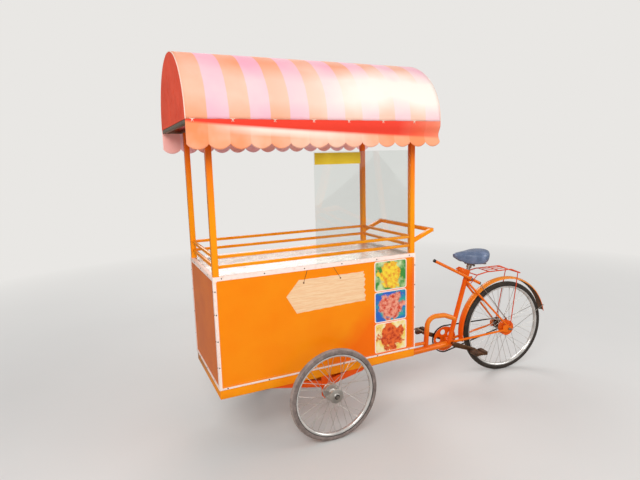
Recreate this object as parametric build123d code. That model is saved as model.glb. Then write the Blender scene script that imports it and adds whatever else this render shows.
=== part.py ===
from build123d import *
import os
from math import asin, atan2, cos, hypot, pi, radians, sin, sqrt, tan

# Food vending bicycle: a two-wheeled box cart with a barrel canopy in front, steered as a whole
# about a kingpin by the rear half of a pedal cycle. Millimetres. X forward, Y to the left, Z up.
# The cart is drawn with its axle at X = 0, the cycle with its kingpin at X = 0, and both are then
# moved so that the origin is at the middle of the whole footprint, on the floor.

# Steering
steer_angle = 5.8
kingpin_setback = 60.0
kingpin_dia = 25.0

# Clearance all round a shaft in a hole that turns on it, and between parts that only just pass
running_clearance = 0.08
seat_gap = 0.3

# Box
box_length = 1200.0
box_width = 600.0
frame_bottom_z = 327.0
bottom_rail_height = 50.0
counter_z = 972.0
tube = 30.0
panel_thickness = 2.0
counter_thickness = 2.0
trim_width = 20.0
trim_thickness = 1.5
floor_thickness = 3.0

# Sliding doors on the far side, where the seller stands
door_side_margin = 70.0
door_opening_height = 470.0
door_opening_bottom = 440.0
door_thickness = 4.0
door_gap = 6.0
door_overlap = 40.0
door_lap = 12.0
track_depth = 5.0
track_floor = 3.0
track_clearance = 0.8
finger_hole_radius = 17.0
finger_hole_inset = 45.0

# Rails, handle and pane
rail_size = 16.0
lower_rail_z = 1020.0
upper_rail_z = 1071.0
handle_reach = 130.0
handle_rise = 55.0
handle_start_z = 1045.0
handle_size = 22.0
pane_front_x = 37.0
pane_top_z = 1575.0
pane_thickness = 3.0
pane_y = 295.5

# Canopy
canopy_length = 1400.0
canopy_half_width = 400.0
canopy_rise = 355.0
eave_z = 1728.0
cover_thickness = 3.0
hoop_size = 20.0
hoop_count = 4
valance_drop = 137.0
scallop_count = 14
scallop_depth = 26.0
valance_thickness = 2.0
end_panel_thickness = 3.0

# Front wheels and their carriers
front_radius = 262.5
front_tyre_section = 37.0
front_tyre_height = 31.5
boss_length = 33.7
carrier_half_span = 330.0
carrier_arm_foot = 180.0
carrier_depth = 38.5
carrier_width = 25.0
plate_width = 60.0
plate_thickness = 10.0
plate_below_axle = 66.0
axle_beam = 30.0
stub_dia = 12.0
stub_overhang = 12.0
stub_nut_radius = 10.0
stub_nut_width = 8.0
boss_dia = 24.0
front_hub_outer = 32.0
front_hub_inner = 66.0
front_flange_radius = 40.0
front_flange_y = 21.0
front_drum_radius = 46.0
front_drum_y = 37.0

# Rear wheel
rear_radius = 325.0
rear_tyre_section = 37.0
rear_tyre_height = 32.0
rear_hub_half = 50.0
rear_axle_dia = 10.0
sprocket_seat_end = 58.0
sprocket_seat_radius = 14.0
drum_radius = 54.0
drum_width = 26.0
rear_drum_inset = 30.0
rear_flange_radius = 33.0
rear_flange_inset = 12.0
rear_barrel_radius = 16.0
rim_width = 26.0
rim_floor_width = 14.0
rim_depth = 13.0
spoke_count = 36
wheel_sides = 60
hub_sides = 20
spoke_dia = 2.2
spoke_lead = 2.2
spoke_offset = 1.6
flange_thickness = 6.0

# Cycle half, along its own centre plane, X measured from the kingpin
bracket_x = -981.0
bracket_z = 273.0
rear_axle_x = -1424.0
main_tube_dia = 42.0
main_tube_front_z = 184.0
main_tube_rear_z = 259.0
upper_tube_dia = 22.0
upper_tube_z = 285.0
head_dia = 46.0
head_bottom_z = 152.0
head_top_z = 304.0
seat_tube_dia = 32.0
seat_tube_angle = 73.9
seat_tube_top_z = 765.0
arch_dia = 33.0
arch_foot_x = -797.0
arch_top_z = 459.0
arch_seat_z = 430.0
bracket_shell_dia = 42.0
bracket_shell_width = 68.0
stay_dia = 18.0
seat_stay_dia = 16.0
dropout_y = 68.0
dropout_thickness = 5.0
chain_plane_y = -54.0
chainring_tip_radius = 90.0
chainring_thickness = 3.0
crank_axle_dia = 16.0
sprocket_tip_radius = 37.0
chain_gap = 1.0
chain_height = 8.0
chain_waist = 2.6
link_pitch = 12.7
chainring_teeth = 44
sprocket_teeth = 18
tooth_depth = 5.0
chain_width = 7.0
crank_length = 172.0
crank_angle = 21.0
crank_face_y = 62.0
crank_thickness = 13.0
pedal_length = 92.0
pedal_width = 74.0
pedal_thickness = 26.0
pedal_block_length = 26.0
pedal_plate = 3.0
pedal_barrel_dia = 20.0
pedal_spindle_dia = 9.0

# Fender, rack, saddle and brake lever
fender_radius = 362.0
fender_width = 54.0
fender_thickness = 1.5
fender_front_angle = 190.0
fender_rear_angle = 12.0
fender_crown = 9.0
fender_lip = 14.0
fender_wire_dia = 4.0
bridge_dia = 12.0
rack_z = 752.0
rack_wire = 8.0
rack_front_x = -1150.0
rack_rear_x = -1520.0
rack_half_width = 62.0
rack_front_drop = 14.0
rack_rear_drop = 38.0
rack_strut_lean = 60.0
saddle_nose_x = -1000.0
saddle_rear_x = -1282.0
seat_post_exposed = 39.0
saddle_depth = 48.0
saddle_spring_height = 44.0
spring_dia = 26.0
spring_y = 44.0
saddle_plate = 6.0
saddle_nose_radius = 26.0
saddle_skirt_drop = 42.0
saddle_skirt_setback = 84.0
saddle_skirt_nose_radius = 40.0
saddle_skirt_inset = 14.0
saddle_wall = 9.0
saddle_spring_setback = 84.0
saddle_rod_reach = 44.0
seat_post_dia = 25.0
seat_post_depth = 60.0
stay_joint_drop = 75.0
saddle_half_width = 98.0
lever_dia = 18.0
lever_tip = (-838.0, 28.0, 860.0)
lever_end = (-1200.0, 28.0, 669.0)
lever_pivot_z = 706.0
brake_rod_dia = 5.0
brake_arm_length = 78.0


def rod(a, b, dia):
    """Round bar from point a to point b."""
    a, b = Vector(*a), Vector(*b)
    return Plane(origin=a, z_dir=b - a) * Cylinder(
        dia / 2, (b - a).length, align=(Align.CENTER, Align.CENTER, Align.MIN)
    )


def bar(a, b, width, height):
    """Square bar from a to b in a plane of constant Y: width along Y, height across."""
    a, b = Vector(*a), Vector(*b)
    return Plane(origin=a, x_dir=(0, 1, 0), z_dir=b - a) * Box(
        width, height, (b - a).length, align=(Align.CENTER, Align.CENTER, Align.MIN)
    )


def block(x0, x1, y0, y1, z0, z1):
    """Box between two corners."""
    return Pos((x0 + x1) / 2, (y0 + y1) / 2, (z0 + z1) / 2) * Box(abs(x1 - x0), abs(y1 - y0), abs(z1 - z0))


def prism(a, b, dia, sides=10):
    """Many-sided bar from a to b, for round stock that nothing turns on."""
    a, b = Vector(*a), Vector(*b)
    return extrude(Plane(origin=a, z_dir=b - a) * RegularPolygon(dia / 2, sides), (b - a).length)


def bend_points(points, radii, steps):
    """Runs of a route with each corner turned in equal short steps along its tangent arc."""
    places = [Vector(*p) for p in points]
    route = [places[0]]
    for before, corner, after, radius in zip(places, places[1:], places[2:], radii):
        u, v = (corner - before).normalized(), (after - corner).normalized()
        turn_angle = radians(u.get_angle(v))
        back = radius * tan(turn_angle / 2)
        inward = u.cross(v).cross(u).normalized()
        for k in range(steps + 1):
            a = turn_angle * k / steps
            route.append(corner - u * back + u * radius * sin(a) + inward * radius * (1 - cos(a)))
    return [*route, places[-1]]


def wire(points, dia, sides=6):
    """Many-sided bar along straight runs that meet in mitred corners."""
    path = Polyline(*[Vector(*p) for p in points])
    section = Plane(origin=path @ 0, z_dir=path % 0) * RegularPolygon(dia / 2, sides)
    return sweep(section, path=path, transition=Transition.RIGHT)


def group(shapes):
    """Several solids that share a node."""
    solids = []
    for shape in shapes:
        solids.extend(shape.solids())
    return Compound(solids)


# Derived places
door_opening_length = box_length - 2 * door_side_margin
half_length = box_length / 2
half_width = box_width / 2
rail_top_z = frame_bottom_z + bottom_rail_height
panel_top_z = counter_z
counter_top_z = counter_z + counter_thickness
post_x = half_length - tube / 2
post_y = half_width - tube / 2
rear_axle = (rear_axle_x, rear_radius)
plate_outer_y = post_y + carrier_width / 2 + plate_thickness
boss_end_y = plate_outer_y + boss_length
front_track = 2 * (boss_end_y + seat_gap + front_hub_inner)
front_rim_flange_radius = front_radius - front_tyre_height
rear_rim_flange_radius = rear_radius - rear_tyre_height
roof_frame_z = eave_z - hoop_size
seat_slope = 1 / tan(radians(seat_tube_angle))
stay_joint_z = seat_tube_top_z - stay_joint_drop
saddle_plate_z = seat_tube_top_z + seat_post_exposed + saddle_plate
saddle_base_z = saddle_plate_z + saddle_spring_height
saddle_top_z = saddle_base_z + saddle_depth
brake_plate_y = rear_hub_half - rear_drum_inset + drum_width + 2
stay_foot = (rear_axle_x + 22, dropout_y + dropout_thickness / 2, rear_radius + 30)


def seat_tube_x(z):
    """X of the seat tube's centre line at height z."""
    return bracket_x - (z - bracket_z) * seat_slope


def main_tube_z(x):
    """Height of the main tube's centre line at x."""
    return main_tube_front_z + (main_tube_rear_z - main_tube_front_z) * x / bracket_x


# Box cart

def bottom_frame():
    inner_x, inner_y = half_length - tube, half_width - tube
    ring = block(-half_length, half_length, -half_width, half_width, frame_bottom_z, rail_top_z)
    return ring - block(-inner_x, inner_x, -inner_y, inner_y, frame_bottom_z, rail_top_z)


def corner_posts():
    post = block(-tube / 2, tube / 2, -tube / 2, tube / 2, rail_top_z, roof_frame_z)
    return group([Pos(sx * post_x, sy * post_y, 0) * post for sx in (1, -1) for sy in (1, -1)])


def top_frame():
    inner_x, inner_y = half_length - tube, half_width - tube
    z0 = counter_z - tube
    sides = [block(-inner_x, inner_x, s * inner_y, s * half_width, z0, counter_z) for s in (1, -1)]
    ends = [block(s * inner_x, s * half_length, -inner_y, inner_y, z0, counter_z) for s in (1, -1)]
    return group(sides + ends)


def floor_panel():
    inner_x, inner_y = half_length - tube, half_width - tube
    return block(-inner_x, inner_x, -inner_y, inner_y, rail_top_z - floor_thickness, rail_top_z)


def counter():
    """Steel sheet inside the edge strips, notched round the four posts."""
    edge_x = half_length + panel_thickness + trim_thickness - trim_width
    edge_y = half_width + panel_thickness + trim_thickness - trim_width
    inner_x, inner_y = half_length - tube, half_width - tube
    sheet = block(-edge_x, edge_x, -edge_y, edge_y, counter_z, counter_top_z)
    for sx in (1, -1):
        for sy in (1, -1):
            sheet -= block(sx * inner_x, sx * edge_x, sy * inner_y, sy * edge_y, counter_z, counter_top_z)
    return sheet


def side_panel():
    edge_x = half_length + panel_thickness
    return block(-edge_x, edge_x, half_width, half_width + panel_thickness, rail_top_z, panel_top_z)


def door_opening(y0, y1):
    x = door_opening_length / 2
    return block(-x, x, y0, y1, door_opening_bottom, door_opening_bottom + door_opening_height)


def door_side_panel():
    edge_x = half_length + panel_thickness
    panel = block(-edge_x, edge_x, -half_width - panel_thickness, -half_width, rail_top_z, panel_top_z)
    return panel - door_opening(-half_width - panel_thickness, -half_width)


def end_panel(side):
    x0 = side * half_length
    return block(x0, x0 + side * panel_thickness, -half_width, half_width, rail_top_z, panel_top_z)


def trim():
    """Angle strips round every edge of the box, as one folded frame with its windows cut."""
    inner_x, inner_y = half_length + panel_thickness, half_width + panel_thickness
    outer_x, outer_y = inner_x + trim_thickness, inner_y + trim_thickness
    top = counter_z + trim_thickness
    shell = block(-outer_x, outer_x, -outer_y, outer_y, rail_top_z, top)
    shell -= block(-inner_x, inner_x, -inner_y, inner_y, rail_top_z, counter_z)
    z0, z1 = rail_top_z + trim_width, counter_z - trim_width
    open_x, open_y = outer_x - trim_width, outer_y - trim_width
    shell -= block(-open_x, open_x, -outer_y, outer_y, z0, z1)
    shell -= block(-outer_x, outer_x, -open_y, open_y, z0, z1)
    shell -= block(-open_x, open_x, -open_y, open_y, counter_z, top)
    post = Pos(0, 0, counter_z) * Box(tube, tube, 2 * trim_thickness)
    for sx in (1, -1):
        for sy in (1, -1):
            shell -= Pos(sx * post_x, sy * post_y, 0) * post
    return shell


def door_tracks():
    """Channels above and below the opening that the two doors slide in."""
    depth = 2 * door_thickness + 3 * door_gap
    y1 = -half_width + depth
    x_end = half_length - tube
    z_low = door_opening_bottom - door_lap
    z_high = door_opening_bottom + door_opening_height + door_lap
    tracks = []
    for z, up in ((z_low, 1), (z_high, -1)):
        base = block(-x_end, x_end, -half_width, y1, z - up * (track_floor + seat_gap), z + up * track_depth)
        for row in (0, 1):
            y0 = -half_width + door_gap + row * (door_thickness + door_gap)
            groove_y0, groove_y1 = y0 - track_clearance, y0 + door_thickness + track_clearance
            base -= block(-x_end, x_end, groove_y0, groove_y1, z - up * seat_gap, z + up * track_depth)
        tracks.append(base)
    return group(tracks)


def sliding_door(side):
    """One of two doors that pass each other: side 1 is the forward one, in the outer track."""
    row = 0 if side > 0 else 1
    y0 = -half_width + door_gap + row * (door_thickness + door_gap)
    z0 = door_opening_bottom - door_lap
    z1 = door_opening_bottom + door_opening_height + door_lap
    inner_x, outer_x = -side * door_overlap / 2, side * (door_opening_length / 2 + door_lap)
    door = block(inner_x, outer_x, y0, y0 + door_thickness, z0, z1)
    hole_x = side * (door_opening_length / 2 - finger_hole_inset)
    centre = Pos(hole_x, y0 + door_thickness / 2, (z0 + z1) / 2)
    return door - centre * Rot(90, 0, 0) * Cylinder(finger_hole_radius, door_thickness)


def guard_rails():
    inner_x, inner_y = half_length - tube, half_width - tube
    rails = []
    for z in (lower_rail_z, upper_rail_z):
        for s in (1, -1):
            rails.append(Pos(0, s * post_y, z) * Box(2 * inner_x, rail_size, rail_size))
            rails.append(Pos(s * post_x, 0, z) * Box(rail_size, 2 * inner_y, rail_size))
    return group(rails)


def push_handle():
    """Bar behind the box: two rising arms from the rear posts and a crossbar between them."""
    x0, x1 = -half_length, -half_length - handle_reach
    z0, z1 = handle_start_z, handle_start_z + handle_rise
    handle = Pos(x1, 0, z1) * Box(handle_size, 2 * post_y + handle_size, handle_size)
    for s in (1, -1):
        foot = (x0 + tube, s * post_y, z0 - tube * handle_rise / handle_reach)
        handle += bar(foot, (x1, s * post_y, z1), handle_size, handle_size)
    return handle - block(x0, 0, -half_width, half_width, 0, roof_frame_z)


def pane():
    x0 = -half_length + tube + seat_gap
    y0 = pane_y - pane_thickness / 2
    z0 = counter_z + trim_thickness + seat_gap
    return block(x0, pane_front_x, y0, y0 + pane_thickness, z0, pane_top_z)


def roof_frame():
    """Flat frame on top of the posts that carries the hoops."""
    x, y = canopy_length / 2 - cover_thickness, canopy_half_width - cover_thickness
    z0, z1 = roof_frame_z, eave_z
    ring = block(-x, x, -y, y, z0, z1)
    ring -= block(-x + hoop_size, x - hoop_size, -y + hoop_size, y - hoop_size, z0, z1)
    for s in (1, -1):
        ring += Pos(s * post_x, 0, (z0 + z1) / 2) * Box(tube, 2 * (y - hoop_size), hoop_size)
    return ring


def half_ellipse(half, rise):
    """Upper half of an ellipse, standing in the YZ plane at X = 0, its flat side on the eave line."""
    shape = Ellipse(half, rise) - Pos(0, -rise) * Rectangle(2 * half, 2 * rise)
    return Plane(origin=(0, 0, eave_z), x_dir=(0, 1, 0), z_dir=(1, 0, 0)) * shape


def hoop_outline(inset):
    """Half ellipse drawn as short straight runs, as a rolled square tube is seen from its side."""
    half, rise = canopy_half_width - inset, canopy_rise - inset
    runs = 14
    points = [(half * cos(pi * k / runs), rise * sin(pi * k / runs)) for k in range(runs + 1)]
    face = make_face(Polyline(*points, close=True))
    return Plane(origin=(0, 0, eave_z), x_dir=(0, 1, 0), z_dir=(1, 0, 0)) * face


def canopy_hoops():
    """Rolled hoops from eave to eave, with a ridge bar along their tops."""
    ring = hoop_outline(cover_thickness) - hoop_outline(cover_thickness + hoop_size)
    end_x = canopy_length / 2 - end_panel_thickness
    pitch = (2 * end_x - hoop_size) / (hoop_count - 1)
    hoops = [Pos(-end_x + k * pitch, 0, 0) * extrude(ring, hoop_size) for k in range(hoop_count)]
    ridge_top = eave_z + canopy_rise - cover_thickness - 0.5
    ridge = block(-end_x, end_x, -hoop_size / 2, hoop_size / 2, ridge_top - hoop_size, ridge_top)
    return ridge + hoops


def canopy_cover():
    outer = half_ellipse(canopy_half_width, canopy_rise)
    inner = half_ellipse(canopy_half_width - cover_thickness, canopy_rise - cover_thickness)
    return Pos(-canopy_length / 2, 0, 0) * extrude(outer - inner, canopy_length)


def canopy_end(side):
    shape = half_ellipse(canopy_half_width - cover_thickness, canopy_rise - cover_thickness)
    x = canopy_length / 2 - end_panel_thickness
    return Pos(x if side > 0 else -x - end_panel_thickness, 0, 0) * extrude(shape, end_panel_thickness)


def valance():
    """Scalloped flaps that hang from both eaves, one scallop for each stripe of the canopy."""
    pitch = canopy_length / scallop_count
    straight = valance_drop - scallop_depth
    lobe = ((0.0, 0.0), (0.12, 0.55), (0.3, 0.9), (0.5, 1.0), (0.7, 0.9), (0.88, 0.55))
    points = [(canopy_length / 2, 0), (-canopy_length / 2, 0)]
    for k in range(scallop_count):
        for along, down in lobe:
            points.append((-canopy_length / 2 + (k + along) * pitch, -straight - down * scallop_depth))
    points.append((canopy_length / 2, -straight))
    outline = make_face(Polyline(*points, close=True))
    flaps = []
    for s in (1, -1):
        y0 = s * (canopy_half_width - cover_thickness)
        face = Plane(origin=(0, y0, eave_z), x_dir=(1, 0, 0), z_dir=(0, -1, 0)) * outline
        flap = extrude(face, valance_thickness)
        flaps.append(flap if s < 0 else Pos(0, valance_thickness, 0) * flap)
    return group(flaps)


# Underframe

def carriers():
    """A shallow V on each side that drops from the box frame to a plate round the stub axle."""
    pieces = []
    apex_low = front_radius - 4
    for s in (1, -1):
        arms = None
        for d in (1, -1):
            outline = Polyline(
                (0, apex_low),
                (d * carrier_half_span, frame_bottom_z),
                (d * (carrier_half_span - carrier_arm_foot), frame_bottom_z),
                (0, apex_low + carrier_depth),
                close=True,
            )
            face = make_face(Plane.XZ * outline)
            arm = extrude(face, carrier_width / 2, both=True)
            arms = arm if arms is None else arms + arm
        arms = Pos(0, s * post_y, 0) * arms
        plate_y0, plate_y1 = plate_outer_y - plate_thickness, plate_outer_y
        round_z = front_radius - plate_below_axle + plate_width / 2
        half = plate_width / 2
        plate = block(-half, half, s * plate_y0, s * plate_y1, round_z, frame_bottom_z)
        plate += prism((0, s * plate_y0, round_z), (0, s * plate_y1, round_z), plate_width, 24)
        boss = prism((0, s * plate_y1, front_radius), (0, s * boss_end_y, front_radius), boss_dia, 12)
        pieces.append(arms + plate + boss)
    return group(pieces)


def stub_axles():
    stubs = []
    for s in (1, -1):
        outer = front_track / 2 + front_hub_outer + stub_overhang
        stub = rod((0, s * boss_end_y, front_radius), (0, s * outer, front_radius), stub_dia)
        nut_y = s * (front_track / 2 + front_hub_outer + seat_gap)
        nut_face = RegularPolygon(stub_nut_radius, 6)
        nut = Plane(origin=(0, nut_y, front_radius), z_dir=(0, s, 0)) * extrude(nut_face, stub_nut_width)
        stubs.append(stub + nut)
    return group(stubs)


def axle_beam_frame():
    """Square beam between the two carriers, with the forked brackets that hold the kingpin."""
    y = post_y - carrier_width / 2
    z = front_radius
    beam = Pos(0, 0, z) * Box(axle_beam, 2 * y, axle_beam)
    kx = -kingpin_setback
    top_z0, top_z1 = head_top_z + seat_gap, frame_bottom_z
    low_z1 = head_bottom_z - seat_gap
    low_z0 = low_z1 - 10
    top_plate = block(kx - 40, kx + 40, -half_width + tube, half_width - tube, top_z0, top_z1)
    low_plate = block(kx - 30, axle_beam / 2, -35, 35, low_z0, low_z1)
    web = block(-axle_beam / 2, axle_beam / 2, -35, 35, low_z0, z)
    pin = rod((kx, 0, low_z0), (kx, 0, top_z0 + 5), kingpin_dia)
    risers = [block(-axle_beam / 2, axle_beam / 2, s * 120, s * 150, z, frame_bottom_z) for s in (1, -1)]
    frame = beam + low_plate + web + pin + top_plate
    for riser in risers:
        frame += riser
    return frame


# Wheels, drawn about the Z axis with +Z to the vehicle's left

def flat_solid(loops, ring=False):
    """Closed solid between loops of points, each loop joined to the next by flat faces."""
    faces = []
    pairs = list(zip(loops, loops[1:] + loops[:1] if ring else loops[1:]))
    for low, high in pairs:
        for a, b, c, d in zip(low, low[1:] + low[:1], high[1:] + high[:1], high):
            flat = abs((b - a).cross(d - a).dot(c - a)) < 0.01
            outlines = [[a, b, c, d]] if flat else [[a, b, c], [a, c, d]]
            faces += [Face(Wire.make_polygon(points, close=True)) for points in outlines]
    if not ring:
        faces += [Face(Wire.make_polygon(end, close=True)) for end in (loops[0], loops[-1])]
    return Solid(Shell(faces))


def turned(profile, sides):
    """Solid turned about Z from (radius, height) points, with flat sides that touch the true circle."""
    loops = []
    for radius, z in profile:
        corner = radius / cos(pi / sides)
        angles = [2 * pi * (k + 0.5) / sides for k in range(sides)]
        loops.append([Vector(corner * cos(a), corner * sin(a), z) for a in angles])
    return flat_solid(loops, ring=True)


def tyre(radius, section, flange_radius):
    """Tyre with a flat tread, two shoulders and two walls that draw in to the beads."""
    half_tread, half_wall, half_bead = 0.24 * section, 0.49 * section, 0.36 * section
    shoulder = radius - 0.42 * section
    half_outline = [(radius, half_tread), (shoulder, half_wall), (flange_radius, half_bead)]
    return turned(half_outline + [(r, -y) for r, y in reversed(half_outline)], wheel_sides)


def rim(flange_radius):
    """Rim with a narrow floor and two flanges that lean out to the tyre's beads."""
    outer = flange_radius - seat_gap
    edge, floor = rim_width / 2, rim_floor_width / 2
    profile = [(outer, edge), (outer - rim_depth, floor), (outer - rim_depth, -floor), (outer, -edge)]
    return turned(profile, wheel_sides)


def spokes(low_foot, high_foot, rim_inner):
    """Crossed spokes, half from each flange, leading and trailing by turns. A foot is (radius, height)."""
    made = []
    per_side = spoke_count // 2
    for k in range(spoke_count):
        foot_radius, side = high_foot if k % 2 else low_foot
        lead = 1 if (k // 2) % 2 else -1
        b = radians(360 / spoke_count * k)
        a = b + lead * radians(360 / per_side * spoke_lead)
        foot = Vector(foot_radius * cos(a), foot_radius * sin(a), side + lead * spoke_offset)
        tip_z = (1 if side > 0 else -1) * spoke_dia + lead * spoke_offset / 2
        tip = Vector(rim_inner * cos(b), rim_inner * sin(b), tip_z)
        section = Plane(origin=foot, z_dir=tip - foot) * RegularPolygon(spoke_dia / 1.6, 3)
        made.append(extrude(section, (tip - foot).length))
    return made


def hub_solid(profile, bore):
    """Hub with flat sides outside and a round bore; the profile stops inside the bore."""
    length = max(z for _, z in profile) - min(z for _, z in profile)
    return turned(profile, hub_sides) - Cylinder(bore, 4 * length)


def front_hub(side):
    """Hub with a wide brake drum towards the box and a plain flange outside; side 1 is the left wheel."""
    bore = stub_dia / 2 + running_clearance
    barrel, drum = 15.0, front_drum_radius
    t = flange_thickness / 2
    profile = [
        (bore / 2, -front_hub_inner), (20, -front_hub_inner), (drum, -front_hub_inner + 4),
        (drum, -front_drum_y + 4), (barrel, -front_drum_y + 6),
        (barrel, front_flange_y - t), (front_flange_radius, front_flange_y - t),
        (front_flange_radius, front_flange_y + t), (13, front_flange_y + t), (13, front_hub_outer),
        (bore / 2, front_hub_outer),
    ]
    inner = front_rim_flange_radius - seat_gap - rim_depth - seat_gap
    feet = ((drum - 4, -front_drum_y), (front_flange_radius - 4, front_flange_y))
    hub = hub_solid(profile, bore) + spokes(*feet, inner)
    return hub if side > 0 else Rot(180, 0, 0) * hub


def rear_hub():
    """Hub with the brake drum on the left and the seat of the sprocket on the right."""
    h = rear_hub_half
    bore = rear_axle_dia / 2 + running_clearance
    drum_y0 = h - rear_drum_inset
    drum_y1 = drum_y0 + drum_width
    flange_y, flange, t = -h + rear_flange_inset, rear_flange_radius, flange_thickness / 2
    barrel, seat = rear_barrel_radius, sprocket_seat_radius
    profile = [
        (bore / 2, -sprocket_seat_end), (seat, -sprocket_seat_end), (seat, flange_y - t),
        (flange, flange_y - t), (flange, flange_y + t), (barrel, flange_y + t),
        (barrel, drum_y0 - 4), (drum_radius, drum_y0), (drum_radius, drum_y1), (bore / 2, drum_y1),
    ]
    inner = rear_rim_flange_radius - seat_gap - rim_depth - seat_gap
    return hub_solid(profile, bore) + spokes((flange - 4, flange_y), (drum_radius - 4, drum_y0 + 5), inner)


def toothed_disc(tip_radius, teeth, thickness, holes, hole_radius, hole_circle, bore):
    """Plate with pointed teeth, lightening holes and a bore face."""
    points = []
    for k in range(teeth):
        for share, radius in ((0.0, tip_radius - tooth_depth), (0.5, tip_radius)):
            a = 2 * pi * (k + share) / teeth
            points.append((radius * cos(a), radius * sin(a)))
    disc = make_face(Polyline(*points, close=True)) - bore
    for k in range(holes):
        disc -= Rot(0, 0, 360 / holes * k) * Pos(hole_circle, 0) * RegularPolygon(hole_radius, 12)
    return Pos(0, 0, -thickness / 2) * extrude(disc, thickness)


# Cycle half

def main_frame():
    sleeve_inner = kingpin_dia / 2 + running_clearance
    head = rod((0, 0, head_bottom_z), (0, 0, head_top_z), head_dia)
    main = rod((0, 0, main_tube_front_z), (bracket_x, 0, main_tube_rear_z), main_tube_dia)
    upper = rod((0, 0, upper_tube_z), (arch_foot_x, 0, upper_tube_z + 3), upper_tube_dia)
    frame = head + main + upper
    frame -= rod((0, 0, head_bottom_z - 1), (0, 0, head_top_z + 1), 2 * sleeve_inner)
    return frame - bracket_shell_solid()


def bracket_shell_solid():
    y = bracket_shell_width / 2
    return rod((bracket_x, -y, bracket_z), (bracket_x, y, bracket_z), bracket_shell_dia)


def seat_tube_solid():
    return rod((bracket_x, 0, bracket_z), (seat_tube_x(seat_tube_top_z), 0, seat_tube_top_z), seat_tube_dia)


def seat_tube():
    """Seat tube with the bottom bracket's shell and the folded gusset that carries the lever."""
    y = bracket_shell_width
    hole = crank_axle_dia + 2 * running_clearance
    bore = rod((bracket_x, -y, bracket_z), (bracket_x, y, bracket_z), hole)
    frame = seat_tube_solid() + bracket_shell_solid() - bore
    top, x_top = seat_tube_top_z, seat_tube_x(seat_tube_top_z)
    half, sheet = seat_tube_dia / 2, 3.0
    outline = [(seat_tube_x(top - 55), top - 55), (x_top + 90, top + 14), (x_top + 62, top + 26)]
    outline.append((x_top, top - 4))
    side = make_face(Plane.XZ * Polyline(*outline, close=True))
    hollow = [(x, z + (sheet if k < 2 else 12)) for k, (x, z) in enumerate(outline)]
    pocket = make_face(Plane.XZ * Polyline(*hollow, close=True))
    frame += extrude(side, half, both=True) - extrude(pocket, half - sheet, both=True)
    low = top - seat_post_depth
    return frame - rod((seat_tube_x(low), 0, low), (seat_tube_x(top + 40), 0, top + 40), seat_post_dia + 0.1)


def arch_brace():
    points = [
        (arch_foot_x, 0, main_tube_z(arch_foot_x)),
        (arch_foot_x - 14, 0, arch_top_z + 10),
        (arch_foot_x - 145, 0, arch_top_z + 6),
        (seat_tube_x(arch_seat_z), 0, arch_seat_z),
    ]
    brace = wire(bend_points(points, [95, 80], 4), arch_dia, 12)
    return brace - main_frame_envelope() - seat_tube_solid()


def main_frame_envelope():
    main = rod((0, 0, main_tube_front_z), (bracket_x, 0, main_tube_rear_z), main_tube_dia)
    upper = rod((0, 0, upper_tube_z), (arch_foot_x, 0, upper_tube_z + 3), upper_tube_dia)
    return main + upper


def seat_stay_point(share, side):
    """Point on the seat stay's centre line, from its joint at 0 down to its foot at 1."""
    top = (seat_tube_x(stay_joint_z), 20.0, stay_joint_z)
    x, y, z = [a + (b - a) * share for a, b in zip(top, stay_foot)]
    return (x, side * y, z)


def bridge_share():
    """Where a bar between the seat stays just clears the fender, as a share of the stay's length."""
    (x0, _, z0), (x1, _, z1) = seat_stay_point(0, 1), seat_stay_point(1, 1)
    reach = fender_radius + bridge_dia / 2 + seat_gap
    px, pz, dx, dz = x0 - rear_axle_x, z0 - rear_radius, x1 - x0, z1 - z0
    a, b, c = dx * dx + dz * dz, px * dx + pz * dz, px * px + pz * pz - reach * reach
    return (-b - sqrt(b * b - a * c)) / a


def stays():
    """Chain stays, seat stays, the bar that the fender hangs on and the plates that hold the rear axle."""
    ax, az = rear_axle
    pieces = []
    mid_y = dropout_y + dropout_thickness / 2
    for s in (1, -1):
        stay_start, stay_end = (bracket_x - 5, s * 26, bracket_z + 1), (ax + 42, s * (mid_y - 2), az - 8)
        chain_stay = prism(stay_start, stay_end, stay_dia)
        seat_stay = prism(seat_stay_point(0, s), seat_stay_point(1, s), seat_stay_dia)
        plate = Pos(ax + 14, s * mid_y, az + 4) * Box(70, dropout_thickness, 52)
        plate -= rod((ax, s * 50, az), (ax, s * 90, az), rear_axle_dia)
        pieces.append(chain_stay + plate + seat_stay)
    share = bridge_share()
    bridge = prism(seat_stay_point(share, -1), seat_stay_point(share, 1), bridge_dia, 8)
    whole = pieces[0] + pieces[1] + bridge
    bore = rod((bracket_x, -80, bracket_z), (bracket_x, 80, bracket_z), bracket_shell_dia)
    return whole - bore - seat_tube_solid()


stays_solid = stays()


def rear_axle_rod():
    """Axle with a nut outside each stay plate and a spacer beside the sprocket."""
    ax, az = rear_axle
    y = dropout_y + dropout_thickness
    axle = rod((ax, -y - 12, az), (ax, y + 12, az), rear_axle_dia)
    for s in (1, -1):
        axle += Plane(origin=(ax, s * y, az), z_dir=(0, s, 0)) * extrude(RegularPolygon(9, 6), 8)
    return axle + prism((ax, -dropout_y, az), (ax, -sprocket_seat_end - seat_gap, az), 18, 12)


def brake_plate():
    """Cover of the drum brake, with its arm, held on the axle inside the left stay."""
    ax, az = rear_axle
    y0 = brake_plate_y
    plate = prism((ax, y0, az), (ax, y0 + 5, az), 2 * drum_radius - 2, 32)
    plate += prism((ax, y0 + 5, az), (ax, dropout_y, az), 24, 12)
    arm = block(ax + 10, ax + 24, y0 + 5, y0 + 9, az, az + brake_arm_length)
    return plate + arm - rod((ax, 0, az), (ax, 100, az), rear_axle_dia)


def chainring():
    disc = toothed_disc(chainring_tip_radius, chainring_teeth, chainring_thickness, 5, 19, 52,
                        Circle(crank_axle_dia / 2))
    return Pos(bracket_x, chain_plane_y, bracket_z) * Rot(-90, 0, 0) * disc


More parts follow.
